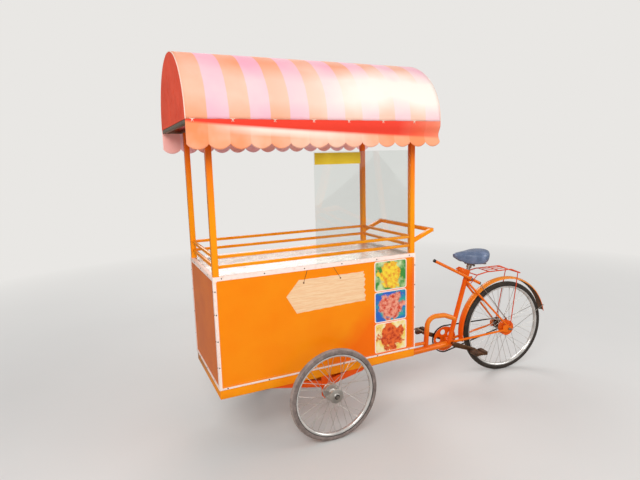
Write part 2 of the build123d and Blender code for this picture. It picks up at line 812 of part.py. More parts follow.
def crankset():
    """Axle through the bottom bracket with a tapering arm at each end."""
    centre = (bracket_x, bracket_z)
    crank = rod((bracket_x, -crank_face_y, bracket_z), (bracket_x, crank_face_y, bracket_z), crank_axle_dia)
    ring_face_y = chain_plane_y - chainring_thickness / 2
    crank += rod((bracket_x, ring_face_y, bracket_z), (bracket_x, -crank_face_y, bracket_z), 44)
    dx, dz = crank_length * cos(radians(crank_angle)), crank_length * sin(radians(crank_angle))
    for s in (1, -1):
        end = (bracket_x - s * dx, bracket_z - s * dz)
        face = Plane(origin=(0, s * crank_face_y, 0), x_dir=(1, 0, 0), z_dir=(0, -1, 0))
        crank += extrude(face * hull_outline(centre, 17, end, 12), -s * crank_thickness)
    outer = crank_face_y + crank_thickness
    for s in (1, -1):
        x, z = bracket_x - s * dx, bracket_z - s * dz
        crank += rod((x, s * outer, z), (x, s * (outer + pedal_width + 6), z), pedal_spindle_dia)
    return crank


def belt_points(c0, r0, c1, r1, steps):
    """Points round two circles: each end's arc in equal steps between the outer tangents."""
    dist = hypot(c1[0] - c0[0], c1[1] - c0[1])
    base = atan2(c1[1] - c0[1], c1[0] - c0[0])
    lean = atan2(r0 - r1, sqrt(dist * dist - (r0 - r1) ** 2))
    points = []
    small_end = (c1, r1, base - pi / 2 + lean, pi - 2 * lean)
    large_end = (c0, r0, base + pi / 2 - lean, pi + 2 * lean)
    for (x, z), r, start, turn_angle in (small_end, large_end):
        for k in range(steps + 1):
            a = start + turn_angle * k / steps
            points.append((x + r * cos(a), z + r * sin(a)))
    return points


def hull_outline(c0, r0, c1, r1, steps=8):
    """Face round two circles, with many-sided ends."""
    return make_face(Polyline(*belt_points(c0, r0, c1, r1, steps), close=True))


def pedal(side):
    """Rat-trap pedal: two rubber blocks between bent steel plates, on a barrel that turns on the spindle."""
    dx, dz = crank_length * cos(radians(crank_angle)), crank_length * sin(radians(crank_angle))
    x, z = bracket_x - side * dx, bracket_z - side * dz
    y_mid = crank_face_y + crank_thickness + 5 + pedal_width / 2
    half, block_x = pedal_width / 2, pedal_length / 2 - pedal_block_length / 2
    body = prism((0, -half, 0), (0, half, 0), pedal_barrel_dia)
    rubber = Box(pedal_block_length, pedal_width - 2 * pedal_plate, pedal_thickness)
    plate = Box(pedal_length - 8, pedal_plate, pedal_thickness - 10)
    for d in (1, -1):
        body += Pos(d * block_x, 0, 0) * rubber
        body += Pos(0, d * (half - pedal_plate / 2), 0) * plate
        groove = Pos(d * pedal_length / 2, 0, 0) * Box(5, pedal_width, 6)
        body -= groove
    body -= rod((0, -pedal_width, 0), (0, pedal_width, 0), pedal_spindle_dia + 2 * running_clearance)
    return Pos(x, side * y_mid, z) * body


def loop_points(c0, r0, c1, r1, step):
    """Points at equal steps along the belt line round two circles, each with its outward direction."""
    dist = hypot(c1[0] - c0[0], c1[1] - c0[1])
    base = atan2(c1[1] - c0[1], c1[0] - c0[0])
    lean = atan2(r0 - r1, sqrt(dist * dist - (r0 - r1) ** 2))
    run = sqrt(dist * dist - (r0 - r1) ** 2)
    arc0, arc1 = r0 * (pi + 2 * lean), r1 * (pi - 2 * lean)
    total = 2 * run + arc0 + arc1
    count = 2 * round(total / step / 2)
    points = []
    for k in range(count):
        s = total * k / count
        if s < run:
            a, x, z = base + pi / 2 - lean, c0[0], c0[1]
            points.append((x + r0 * cos(a) + s * cos(base - lean), z + r0 * sin(a) + s * sin(base - lean), a))
        elif s < run + arc1:
            a = base + pi / 2 - lean - (s - run) / r1
            points.append((c1[0] + r1 * cos(a), c1[1] + r1 * sin(a), a))
        elif s < 2 * run + arc1:
            a, t, way = base - pi / 2 + lean, s - run - arc1, base + lean
            points.append((c1[0] + r1 * cos(a) - t * cos(way), c1[1] + r1 * sin(a) - t * sin(way), a))
        else:
            a = base - pi / 2 + lean - (s - 2 * run - arc1) / r0
            points.append((c0[0] + r0 * cos(a), c0[1] + r0 * sin(a), a))
    return points


def chain_loop():
    """Chain as one closed band of waisted links, just outside the tips of both sprockets."""
    c0, c1 = (bracket_x, bracket_z), (rear_axle[0], rear_axle[1])
    mid0 = chainring_tip_radius + chain_gap + chain_height / 2
    mid1 = sprocket_tip_radius + chain_gap + chain_height / 2
    line = loop_points(c0, mid0, c1, mid1, link_pitch / 2)
    edges = []
    for sign in (1, -1):
        halves = [chain_height / 2 if k % 2 else chain_waist for k in range(len(line))]
        edges.append([(x + sign * h * cos(a), z + sign * h * sin(a)) for (x, z, a), h in zip(line, halves)])
    outer, inner = (make_face(Polyline(*edge, close=True)) for edge in edges)
    face = Plane(origin=(0, chain_plane_y, 0), x_dir=(1, 0, 0), z_dir=(0, -1, 0)) * (outer - inner)
    return extrude(face, chain_width / 2, both=True)


def sprocket():
    corner = sprocket_seat_radius / cos(pi / hub_sides)
    seat = Rot(0, 0, 180 / hub_sides) * RegularPolygon(corner, hub_sides)
    disc = toothed_disc(sprocket_tip_radius, sprocket_teeth, 3, 0, 0, 0, seat)
    return Pos(rear_axle[0], chain_plane_y, rear_axle[1]) * Rot(-90, 0, 0) * disc


def fender():
    """Rolled sheet over the wheel, from its tail over the top and down to the front."""
    half, r, t = fender_width / 2, fender_radius, fender_thickness
    crown, lip = fender_crown, fender_lip
    outer = [(r - lip, half), (r, half - crown), (r, -half + crown), (r - lip, -half)]
    inner = [(r - t, -half + crown), (r - t, half - crown)]
    profile = make_face(Plane.XZ * Polyline(*outer, *inner, close=True))
    ring = revolve(profile, Axis.Z, revolution_arc=fender_front_angle - fender_rear_angle)
    upright = Rot(0, 0, 180) * Rot(90, 0, 0) * Rot(0, 0, fender_rear_angle) * ring
    return Pos(rear_axle[0], 0, rear_axle[1]) * upright


def fender_wires():
    """Thin wires from the stay plates up to the fender's tail."""
    ax, az = rear_axle
    y = dropout_y + dropout_thickness + fender_wire_dia / 2
    r = fender_radius - 9
    tail = radians(fender_rear_angle + 8)
    wires = []
    for s in (1, -1):
        tip_y = fender_width / 2 + fender_wire_dia / 2 + seat_gap
        tip = (ax - r * cos(tail), s * tip_y, az + r * sin(tail))
        wires.append(prism((ax - 16, s * (y + 0.8), az - 8), tip, fender_wire_dia, 6))
    return group(wires)


def rack():
    """Wire carrier over the fender, on two rear struts and two front struts."""
    ax, az = rear_axle
    w, half = rack_half_width, rack_wire / 2
    x1, x2 = rack_front_x - 80, rack_rear_x + 90
    front_z, rear_z = rack_z - rack_front_drop, rack_z - rack_rear_drop
    strut_x = x2 - rack_strut_lean
    strut_z = rack_z + (rear_z - rack_z) * (x2 - strut_x) / (x2 - rack_rear_x)
    foot_y = dropout_y + dropout_thickness + 3.8
    low_x = seat_tube_x(stay_joint_z) - 24
    bars = []
    for s in (1, -1):
        y = s * w
        side = [(rack_front_x, front_z), (x1, rack_z), (x2, rack_z), (rack_rear_x, rear_z)]
        bars.append(wire([(x, y, z) for x, z in side], rack_wire))
        bars.append(wire([(ax - 6, s * foot_y, az + 24), (strut_x, y, strut_z - 1)], rack_wire - 1))
        front_strut = [(rack_front_x - 3, y, front_z - 1), (low_x, s * 30, stay_joint_z - 15)]
        bars.append(wire(front_strut, rack_wire - 2))
    level = [(x, rack_z) for x in (x1 - 20, (x1 + x2) / 2, x2 + 20)]
    for x, z in [(rack_front_x, front_z)] + level + [(rack_rear_x, rear_z)]:
        bars.append(Pos(x, 0, z) * Box(rack_wire - 1, 2 * w, rack_wire - 1))
    z0, z1 = rack_z - half / 2, rack_z + half / 2
    for y in (-20, 20):
        bars.append(block(x2 + 20, x1 - 20, y - half / 2, y + half / 2, z0, z1))
    return bars[0] + bars[1:] - stays_solid


def saddle_outline(z, nose_x, nose_radius, tail_radius):
    """Outline at height z round the nose's circle and the tail's."""
    tail_x = saddle_rear_x + saddle_half_width
    lean = asin((tail_radius - nose_radius) / (nose_x - tail_x))
    ends = ((nose_x, nose_radius, 0, pi - 2 * lean), (tail_x, tail_radius, pi, pi + 2 * lean))
    loop = []
    for x, r, middle, span in ends:
        for k in range(9):
            a = middle - span / 2 + span * k / 8
            loop.append(Vector(x + r * cos(a), r * sin(a), z))
    return loop


def saddle():
    """Crowned saddle whose skirt comes down round the springs, deepest under the seat."""
    nose_x, skirt_z = saddle_nose_x - saddle_nose_radius, saddle_base_z - saddle_skirt_drop
    skirt_nose_x, skirt_tail = nose_x - saddle_skirt_setback, saddle_half_width - saddle_skirt_inset
    loops = [saddle_outline(skirt_z, skirt_nose_x, saddle_skirt_nose_radius, skirt_tail)]
    for share, inset in ((0.0, 2.0), (0.28, 0.0), (0.62, 3.0), (0.86, 15.0), (1.0, 40.0)):
        z = saddle_base_z + share * saddle_depth
        loops.append(saddle_outline(z, nose_x, saddle_nose_radius - inset * 0.5, saddle_half_width - inset))
    wall = saddle_wall
    inner = saddle_outline(skirt_z, skirt_nose_x, saddle_skirt_nose_radius - wall, skirt_tail - wall)
    pocket = extrude(make_face(Polyline(*inner, close=True)), saddle_skirt_drop)
    return flat_solid(loops) - pocket


def saddle_springs():
    """Springs, rail plate and clamp that join the saddle to its post."""
    plate_low, x_post = saddle_plate_z - saddle_plate, seat_tube_x(saddle_plate_z)
    spring_x, rod_x = x_post - saddle_spring_setback, x_post + saddle_rod_reach
    parts = block(spring_x, rod_x, -14, 14, plate_low, saddle_plate_z)
    parts += block(spring_x - 12, spring_x + 12, -spring_y - 14, spring_y + 14, plate_low, saddle_plate_z)
    for s in (1, -1):
        foot = (spring_x, s * spring_y, plate_low + 1)
        parts += prism(foot, (spring_x, s * spring_y, saddle_base_z), spring_dia, 12)
    parts += prism((rod_x - 8, 0, plate_low + 1), (rod_x - 8, 0, saddle_base_z), 12, 8)
    clamp_z = plate_low - 26
    parts += prism((seat_tube_x(clamp_z), 0, clamp_z), (seat_tube_x(plate_low + 4), 0, plate_low + 4), 36, 12)
    return parts - seat_post()


def seat_post():
    low, high = seat_tube_top_z - seat_post_depth, saddle_plate_z - saddle_plate
    return rod((seat_tube_x(low), 0, low), (seat_tube_x(high), 0, high), seat_post_dia)


def lever_x(z):
    """X of the brake lever's centre line at height z."""
    slope = (lever_end[0] - lever_tip[0]) / (lever_end[2] - lever_tip[2])
    return lever_tip[0] + (z - lever_tip[2]) * slope


def brake_lever():
    """Hand lever with the pin that it turns on, and the thin rod from its end to the brake's arm."""
    x, y = lever_x(lever_pivot_z), lever_tip[1]
    pin_start, pin_end = y - lever_dia / 2 - seat_gap, y + lever_dia / 2 + 5
    lever = prism(lever_tip, lever_end, lever_dia, 12)
    lever += prism((x, pin_start, lever_pivot_z), (x, pin_end, lever_pivot_z), 8, 8)
    arm_face_y = brake_plate_y + 9
    start_y = lever_end[1] + lever_dia / 2
    rod_start = (lever_end[0] + 6, start_y - 4, lever_end[2] + 4)
    end_y = arm_face_y + seat_gap + brake_rod_dia * 0.8
    rod_end = (rear_axle_x + 17, end_y, rear_radius + brake_arm_length - 8)
    return lever + wire([rod_start, rod_end], brake_rod_dia)


def lever_bracket():
    """Lug between the seat tube and the lever's pin."""
    x = lever_x(lever_pivot_z)
    y0, y1 = seat_tube_dia / 2 - 6, lever_tip[1] - lever_dia / 2 - seat_gap
    lug = block(x - 16, x + 16, y0, y1, lever_pivot_z - 20, lever_pivot_z + 14)
    return lug - seat_tube_solid() - stays_solid


# Both halves are moved so that the middle of the footprint is at X = 0
turn = radians(steer_angle)
tail_x = rear_axle_x - fender_radius * cos(radians(fender_rear_angle))
rear_x = -kingpin_setback + tail_x * cos(turn) - (fender_width / 2 - fender_crown) * sin(turn)
shift_x = -(canopy_length / 2 + rear_x) / 2
in_cart = Pos(shift_x, 0, 0)
in_cycle = Pos(shift_x - kingpin_setback, 0, 0) * Rot(0, 0, -steer_angle)

cart = {
    "bottom_frame": bottom_frame(),
    "top_frame": top_frame(),
    "corner_posts": corner_posts(),
    "floor_panel": floor_panel(),
    "counter": counter(),
    "left_panel": side_panel(),
    "right_panel": door_side_panel(),
    "front_panel": end_panel(1),
    "rear_panel": end_panel(-1),
    "edge_trim": trim(),
    "door_tracks": door_tracks(),
    "front_door": sliding_door(1),
    "rear_door": sliding_door(-1),
    "guard_rails": guard_rails(),
    "push_handle": push_handle(),
    "menu_pane": pane(),
    "roof_frame": roof_frame(),
    "canopy_hoops": canopy_hoops(),
    "canopy_cover": canopy_cover(),
    "canopy_front_end": canopy_end(1),
    "canopy_rear_end": canopy_end(-1),
    "valance": valance(),
    "wheel_carriers": carriers(),
    "stub_axles": stub_axles(),
    "axle_beam": axle_beam_frame(),
}

for name, s in (("front_left", 1), ("front_right", -1)):
    place = Pos(0, s * front_track / 2, front_radius) * Rot(-90, 0, 0)
    cart[name + "_tyre"] = place * tyre(front_radius, front_tyre_section, front_rim_flange_radius)
    cart[name + "_rim"] = place * rim(front_rim_flange_radius)
    cart[name + "_hub"] = place * front_hub(s)

rear_place = Pos(rear_axle[0], 0, rear_axle[1]) * Rot(-90, 0, 0)
cycle = {
    "main_frame": main_frame(),
    "seat_tube": seat_tube(),
    "arch_brace": arch_brace(),
    "rear_stays": stays_solid,
    "rear_axle": rear_axle_rod(),
    "brake_plate": brake_plate(),
    "chain": chain_loop(),
    "fender": fender(),
    "fender_wires": fender_wires(),
    "rack": rack(),
    "saddle": saddle(),
    "saddle_springs": saddle_springs(),
    "seat_post": seat_post(),
    "brake_lever": brake_lever(),
    "lever_bracket": lever_bracket(),
    "rear_tyre": rear_place * tyre(rear_radius, rear_tyre_section, rear_rim_flange_radius),
    "rear_rim": rear_place * rim(rear_rim_flange_radius),
    "rear_hub": rear_place * rear_hub(),
    "sprocket": sprocket(),
    "chainring": chainring(),
    "crankset": crankset(),
    "pedal_left": pedal(1),
    "pedal_right": pedal(-1),
}

os.makedirs("parts", exist_ok=True)
for name, shape in cart.items():
    export_step(in_cart * shape, f"parts/{name}.step")
for name, shape in cycle.items():
    export_step(in_cycle * shape, f"parts/{name}.step")
print(f"{len(cart) + len(cycle)} nodes, shift {shift_x:.3f}")
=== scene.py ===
# %% [markdown]
# A food vending bicycle: a two-wheeled box cart with a striped barrel canopy, pushed along by the
# rear half of a pedal cycle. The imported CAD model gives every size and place. This script gives it
# its finishes, and the soft, round and small pieces that plain solids can't show.

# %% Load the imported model
import math
import random

import bpy
from mathutils import Matrix, Vector


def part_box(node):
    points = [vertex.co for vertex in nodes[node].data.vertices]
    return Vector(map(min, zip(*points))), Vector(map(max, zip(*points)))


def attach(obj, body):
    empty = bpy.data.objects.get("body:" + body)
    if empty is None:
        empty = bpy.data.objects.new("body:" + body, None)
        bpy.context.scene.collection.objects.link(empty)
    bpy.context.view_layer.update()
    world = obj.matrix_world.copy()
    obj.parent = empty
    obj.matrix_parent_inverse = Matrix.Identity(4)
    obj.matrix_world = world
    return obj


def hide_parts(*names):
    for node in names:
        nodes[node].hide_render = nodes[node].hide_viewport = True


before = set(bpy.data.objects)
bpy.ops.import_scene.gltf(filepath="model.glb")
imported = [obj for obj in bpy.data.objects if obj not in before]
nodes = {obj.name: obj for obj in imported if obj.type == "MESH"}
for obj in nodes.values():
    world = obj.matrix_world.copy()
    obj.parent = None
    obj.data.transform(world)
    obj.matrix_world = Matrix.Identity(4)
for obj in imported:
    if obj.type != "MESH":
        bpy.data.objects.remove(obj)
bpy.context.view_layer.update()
bpy.ops.object.select_all(action="DESELECT")
dice = random.Random(7)

# %% [markdown]
# Every place on the cart is measured from the axle of its two wheels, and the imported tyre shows
# where that is. The cycle half is turned a little to one side, as it was parked, so its pieces are
# modelled straight and then put in place with one matrix.

# %% Places read from the frame
MM = 0.001
STEER = math.radians(-5.8)
KINGPIN_BACK = 60 * MM
WHEEL_Z, TRACK = 262.5 * MM, 815 * MM
tyre_low, tyre_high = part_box("front_left_tyre")
axle_x = (tyre_low.x + tyre_high.x) / 2
cart_place = Matrix.Translation((axle_x, 0, 0))
cycle_place = Matrix.Translation((axle_x - KINGPIN_BACK, 0, 0)) @ Matrix.Rotation(STEER, 4, "Z")
print(f"front axle at x {axle_x:.4f}")

# %% [markdown]
# The camera looks at the cart from its left side and from a little ahead of its middle, at eye
# height, turned towards the cycle and tilted down. A wide lens of 27 mm gives the strong
# perspective.

# %% Camera
CAMERA_PLACE = Vector((axle_x + 1.0837, 2.6394, 1.5312))
CAMERA_YAW, CAMERA_PITCH, CAMERA_ROLL = -0.4283, -0.1632, -0.0264
CAMERA_LENS, SENSOR_WIDTH = 27.26, 36

ahead = Vector((
    math.sin(CAMERA_YAW) * math.cos(CAMERA_PITCH),
    -math.cos(CAMERA_YAW) * math.cos(CAMERA_PITCH),
    math.sin(CAMERA_PITCH),
))
level_right = Vector((-math.cos(CAMERA_YAW), -math.sin(CAMERA_YAW), 0))
level_up = level_right.cross(ahead)
right = level_right * math.cos(CAMERA_ROLL) + level_up * math.sin(CAMERA_ROLL)
up = level_up * math.cos(CAMERA_ROLL) - level_right * math.sin(CAMERA_ROLL)
camera_data = bpy.data.cameras.new("camera")
camera_data.lens = CAMERA_LENS
camera_data.sensor_width = SENSOR_WIDTH
camera = bpy.data.objects.new("camera", camera_data)
bpy.context.scene.collection.objects.link(camera)
axes = Matrix((right, up, -ahead)).transposed().to_4x4()
camera.matrix_world = Matrix.Translation(CAMERA_PLACE) @ axes
bpy.context.scene.camera = camera
print(f"camera of {CAMERA_LENS} mm, {CAMERA_PLACE.z:.2f} m above the ground")

# %% [markdown]
# A material is a small network of nodes. One function turns the hex colours of a paint card into
# the linear values that a renderer mixes, and another adds a node, sets its values and joins its
# inputs to other nodes.

# %% Colours and nodes
def linear(hex_colour):
    """sRGB hex such as '#fc8f12' to a linear RGBA tuple."""
    channels = [int(hex_colour[i:i + 2], 16) / 255 for i in (1, 3, 5)]
    return (*[c / 12.92 if c <= 0.04045 else ((c + 0.055) / 1.055) ** 2.4 for c in channels], 1.0)


def add(tree, kind, inputs=None, **settings):
    """Adds a node. An input is a number, a hex colour or another node's output socket."""
    node = tree.nodes.new(kind)
    for name, value in settings.items():
        setattr(node, name, value)
    for name, value in (inputs or {}).items():
        if isinstance(value, bpy.types.NodeSocket):
            tree.links.new(value, node.inputs[name])
        else:
            node.inputs[name].default_value = linear(value) if isinstance(value, str) else value
    return node


# %% [markdown]
# A class holds one material, and each of its methods adds one kind of node. The patterns follow
# each point's place on the cart, so no surface needs to be unwrapped for them.

# %% A material
class Paint:
    """A material with one Principled shader, whose patterns follow each point's place."""

    def __init__(self, name, **values):
        self.material = bpy.data.materials.new(name)
        self.material.use_nodes = True
        self.tree = self.material.node_tree
        self.tree.nodes.clear()
        values = {key.replace("_", " "): value for key, value in values.items()}
        self.shader = add(self.tree, "ShaderNodeBsdfPrincipled", values)
        self.output = add(self.tree, "ShaderNodeOutputMaterial", {0: self.shader.outputs["BSDF"]})
        self.place = add(self.tree, "ShaderNodeTexCoord").outputs["Object"]
        print(f"material {name}")

    def axis(self, name):
        """One coordinate of each point, in metres."""
        return add(self.tree, "ShaderNodeSeparateXYZ", {0: self.place}).outputs[name]

    def calc(self, operation, *values, clamp=False):
        """Arithmetic on numbers or sockets."""
        inputs = dict(enumerate(values))
        node = add(self.tree, "ShaderNodeMath", inputs, operation=operation, use_clamp=clamp)
        return node.outputs[0]

    def drawn_out(self, scale):
        """Each point's place, squeezed, so that a noise there is drawn out to grain."""
        values = {"Vector": self.place, "Scale": scale}
        return add(self.tree, "ShaderNodeMapping", values).outputs["Vector"]

    def noise(self, size_mm, detail=2, rough=0.5, place=None):
        """Cloudy pattern whose blotches are about size_mm across."""
        place = self.place if place is None else place
        values = {"Vector": place, "Scale": 1000 / size_mm, "Detail": detail, "Roughness": rough}
        return add(self.tree, "ShaderNodeTexNoise", values).outputs["Fac"]

    def spread(self, value, low, high, out_low=0, out_high=1):
        """Maps a value from one range to another, clamped."""
        ends = {"From Min": low, "From Max": high, "To Min": out_low, "To Max": out_high}
        return add(self.tree, "ShaderNodeMapRange", {"Value": value, **ends}).outputs["Result"]

    def mix(self, factor, first, second):
        """Mixes two colours, each a hex value or a socket."""
        inputs = {0: factor, 6: first, 7: second}
        return add(self.tree, "ShaderNodeMix", inputs, data_type="RGBA").outputs[2]

    def length(self, vector):
        node = add(self.tree, "ShaderNodeVectorMath", {0: vector}, operation="LENGTH")
        return node.outputs["Value"]

    def bump(self, height, depth_mm):
        values = {"Height": height, "Strength": 1.0, "Distance": depth_mm * MM}
        return add(self.tree, "ShaderNodeBump", values).outputs["Normal"]

    def feed(self, **sockets):
        """Joins output sockets to the shader's inputs, and gives the material."""
        for name, socket in sockets.items():
            self.tree.links.new(socket, self.shader.inputs[name.replace("_", " ")])
        return self.material

    def blend(self, factor, kind, **values):
        """Mixes the shader with one of another kind, and gives the material."""
        shaders = {1: self.shader.outputs["BSDF"], 2: add(self.tree, kind, values).outputs[0]}
        both = add(self.tree, "ShaderNodeMixShader", {0: factor, **shaders})
        self.tree.links.new(both.outputs[0], self.output.inputs["Surface"])
        return self.material


# %% [markdown]
# Most of the cart is mild steel sprayed with a glossy enamel. The coat lies a little uneven, like
# the skin of an orange, and dust dulls it in patches, so the roughness wanders and a faint bump
# breaks up the reflections. The same recipe serves the golden frame, the cycle and the end panels,
# so it is one function with the colours as its values. The cycle's paint has two tones, and the
# redder one is painted shade. On some pieces a height parts two colours: the lighter top of the
# mudguard and the arch is a painted highlight, and the posts turn redder towards the top.

# %% Enamel
def enamel(name, colour, shade, rough_low, rough_high, peel_mm=0.06, gloss=0.4, coat=0.12,
           low=None, tint="#ffc898"):
    """Sprayed enamel: colour with a darker shade in blotches, dusty patches and orange peel. Low
    is the colour below a height and the heights where it blends into the main colour; on the
    mudguard and the arch the lighter top is a painted highlight. The tint warms the reflections,
    as the pigment of a worn coat does."""
    paint = Paint(name, IOR=1.5, Specular_IOR_Level=gloss, Coat_Weight=coat, Coat_Roughness=0.08,
                  Specular_Tint=tint)
    colours = paint.mix(paint.spread(paint.noise(140, 3), 0.35, 0.7), colour, shade)
    if low:
        low_colour, low_z, high_z = low
        colours = paint.mix(paint.spread(paint.axis("Z"), low_z, high_z), low_colour, colours)
    dust = paint.spread(paint.noise(22, 4, 0.7), 0.5, 0.75)
    return paint.feed(
        Base_Color=colours,
        Roughness=paint.spread(dust, 0, 1, rough_low, rough_high),
        Normal=paint.bump(paint.noise(5), peel_mm),
    )


carrier_enamel = enamel("red_orange_enamel", "#f25c1a", "#e65214", 0.2, 0.4)
golden_enamel = enamel("golden_enamel", "#ff9c14", "#f98a0c", 0.16, 0.34)
# One cycle paint in two tones: this redder copy is painted shade, for the seat tube and small parts,
# and the next one is the lit tone of the boom and the stays.
cycle_enamel_painted_shade = enamel("cycle_enamel_painted_shade", "#ee640f", "#e2580c", 0.2, 0.42)
boom_enamel = enamel("boom_and_stay_lit_enamel", "#f27614", "#e9680f", 0.2, 0.42)
# The posts turn redder towards the top. The mudguard and the arch are redder below and have a
# lighter, more golden top, a painted highlight.
post_enamel = enamel(
    "post_enamel", "#ee6a20", "#e66018", 0.16, 0.34, low=("#ff9a12", 1.25, 1.62))
guard_enamel = enamel(
    "guard_enamel_painted_highlight", "#f0912f", "#ea8526", 0.16, 0.34, low=("#ea5c10", 0.42, 0.6))
arch_enamel = enamel(
    "arch_enamel_painted_highlight", "#f0892a", "#e87a20", 0.16, 0.34, low=("#ec5f10", 0.33, 0.42))
end_gloss = enamel(
    "polished_panel_enamel", "#f47810", "#ea6c0c", 0.08, 0.2, 0.02, gloss=0.3, coat=0.0,
    tint="#e8702c")
end_enamel = enamel(
    "weathered_red_enamel", "#fa583a", "#ec4c30", 0.5, 0.7, gloss=0.12, coat=0.0)
door_lacquer = enamel("pale_door_lacquer", "#efe4d6", "#e4d7c6", 0.22, 0.4)

# %% [markdown]
# The long sides wear a glossy printed film. Towards the lower rear corner a painted shade turns
# its orange redder along a soft slanting edge, which X plus Z gives.

# %% Printed film
# Where the painted shade on the lower rear corner starts and is full, in X plus Z from the axle.
REDDER_FROM, REDDER_TO = 0.42, 0.28


def film_colour(paint):
    """The print's orange, with a painted shade that makes it redder towards the lower rear corner.
    """
    wavy = paint.spread(paint.noise(180), 0.3, 0.7, -0.05, 0.05)
    slant = paint.calc("ADD", paint.calc("ADD", paint.axis("X"), paint.axis("Z")), wavy)
    # The share of painted shade, full at the lower rear corner.
    redder = paint.spread(slant, axle_x + REDDER_FROM, axle_x + REDDER_TO)
    blotch = paint.spread(paint.noise(160, 3), 0.35, 0.7)
    return paint.mix(redder, paint.mix(blotch, "#fc8f14", "#fb8710"), "#f9700f")


film = Paint("printed_film", IOR=1.48, Coat_Weight=0.1, Coat_Roughness=0.05,
             Specular_Tint="#ffb070")
box_film = film.feed(
    Base_Color=film_colour(film),
    Roughness=film.spread(film.noise(25, 4, 0.7), 0.45, 0.75, 0.12, 0.24),
    Normal=film.bump(film.noise(8), 0.03),
)

# %% [markdown]
# The counter is thin stainless sheet. Rolling leaves hairlines along its length, which stretch
# highlights sideways: a noise squeezed in one direction makes them. Metallic 1 makes a surface take
# its colour from what it reflects, and less than 1 leaves a film of dust on rims, spokes and hubs.

# %% Bare metals
TARNISH = 0.72


def metal(name, colour, rough_low, rough_high, stretch=(1, 1, 1), grain_mm=3, bare=1.0):
    """Bare metal whose grain is a noise stretched along one axis."""
    paint = Paint(name, Metallic=bare)
    grain = paint.noise(grain_mm, 3, 0.6, paint.drawn_out(stretch))
    dark = (*[channel * TARNISH for channel in linear(colour)[:3]], 1.0)
    return paint.feed(
        Base_Color=paint.mix(paint.spread(paint.noise(60, 3), 0.4, 0.75), colour, dark),
        Roughness=paint.spread(grain, 0.3, 0.7, rough_low, rough_high),
        Normal=paint.bump(grain, 0.02),
    )


counter_steel = metal("brushed_stainless", "#d6d4d0", 0.22, 0.4, (0.03, 1, 1), 1.5)
chrome = metal("chrome_plate", "#f2f0ec", 0.1, 0.25, bare=0.55)
spoke_steel = metal("bright_spoke_wire", "#d6d2ca", 0.25, 0.45, bare=0.75)
hub_aluminium = metal("turned_aluminium", "#d2cfc9", 0.3, 0.5, (1, 40, 1), 4, bare=0.8)
zinc = metal("zinc_plated_steel", "#b9b6b0", 0.28, 0.5)
dull_steel = metal("galvanised_steel", "#9d978c", 0.4, 0.62)
dark_steel = metal("oiled_steel", "#4b4038", 0.35, 0.6)
worn_steel = metal("worn_brown_steel", "#8a6a52", 0.35, 0.6)

# %% [markdown]
# The edges of the box are covered with folded strips, lacquered a pinkish white and a little
# chalky, with grime where hands and screws are. On the long sides the printed film laps over the
# strips and leaves only their outer edge bare, broader at the front than at the rear.

# %% White strip lacquer
TRIM_X, TRIM_Y, TRIM_LOW, TRIM_TOP = 603.5, 303.5, 376.5, 973.5
TRIM_FACE_Y = 302.6
BARE_FRONT, BARE_REAR, BARE_LOW, BARE_TOP = 15, 8, 11, 25


def lacquer(name, lapped):
    """Chalky white lacquer, lapped by the film on the long sides or not."""
    paint = Paint(name, IOR=1.48)
    grime = paint.spread(paint.noise(30, 5, 0.7), 0.52, 0.78, 0, 0.7)
    colour = paint.mix(grime, "#ffe6da", "#e2b79b")
    if lapped:
        sides = paint.calc("ABSOLUTE", paint.axis("Y"))
        under_film = paint.spread(sides, TRIM_FACE_Y * MM, (TRIM_FACE_Y + 0.1) * MM)
        for axis, edge, way in (
            ("X", axle_x + (TRIM_X - BARE_FRONT) * MM, -1),
            ("X", axle_x - (TRIM_X - BARE_REAR) * MM, 1),
            ("Z", (TRIM_TOP - BARE_TOP) * MM, -1),
            ("Z", (TRIM_LOW + BARE_LOW) * MM, 1),
        ):
            inside = paint.spread(paint.axis(axis), edge, edge + way * 0.5 * MM)
            under_film = paint.calc("MULTIPLY", under_film, inside)
        colour = paint.mix(under_film, colour, film_colour(paint))
    return paint.feed(
        Base_Color=colour,
        Roughness=paint.spread(grime, 0, 1, 0.4, 0.7),
        Normal=paint.bump(paint.noise(8), 0.05),
    )


strip_lacquer = lacquer("chalky_strip_lacquer", False)
lapped_lacquer = lacquer("lapped_strip_lacquer", True)

# %% [markdown]
# Tyre rubber is almost black when new. On the road its tread turns grey-brown with dust while the
# walls stay darker, so a noise mixes the dust in. It is never glossy. The same recipe serves the
# pedals' blocks, the lever's plugs and the dark underside of the mudguard.

# %% Rubber and plastics
def rubber(name, colour, dust_colour, least, most, rough=0.85):
    """Dull rubber; least and most are the shares of dust."""
    paint = Paint(name, IOR=1.5, Specular_IOR_Level=0.35)
    dust = paint.noise(35, 5, 0.65)
    return paint.feed(
        Base_Color=paint.mix(paint.spread(dust, 0.3, 0.7, least, most), colour, dust_colour),
        Roughness=paint.spread(dust, 0.3, 0.7, rough - 0.15, rough),
        Normal=paint.bump(paint.noise(1.6), 0.12),
    )


tyre_wall = rubber("dusty_tyre_wall", "#4a3f3a", "#a08f88", 0.15, 0.8)
tyre_tread = rubber("dusty_tyre_tread", "#4c423c", "#ab9b93", 0.4, 1.0)
newer_wall = rubber("newer_tyre_wall", "#27221d", "#55483d", 0.0, 0.5)
newer_tread = rubber("newer_tyre_tread", "#2a251f", "#665849", 0.1, 0.6)
bead_rubber = rubber("dark_bead_rubber", "#2a2523", "#4d4440", 0.0, 0.6)
block_rubber = rubber("worn_block_rubber", "#2b211b", "#8a6c54", 0.0, 0.75, 0.75)
grip_rubber = rubber("black_grip_rubber", "#151515", "#3a3633", 0.0, 0.4, 0.55)

# %% [markdown]
# The menu pane is clear acrylic: a transmitting surface with an IOR of 1.49, a little scratched.
# Shadow rays pass, so that it doesn't darken the counter behind it, and so does most of the view.

# %% Clear acrylic
CLEAR_SHARE = 0.9

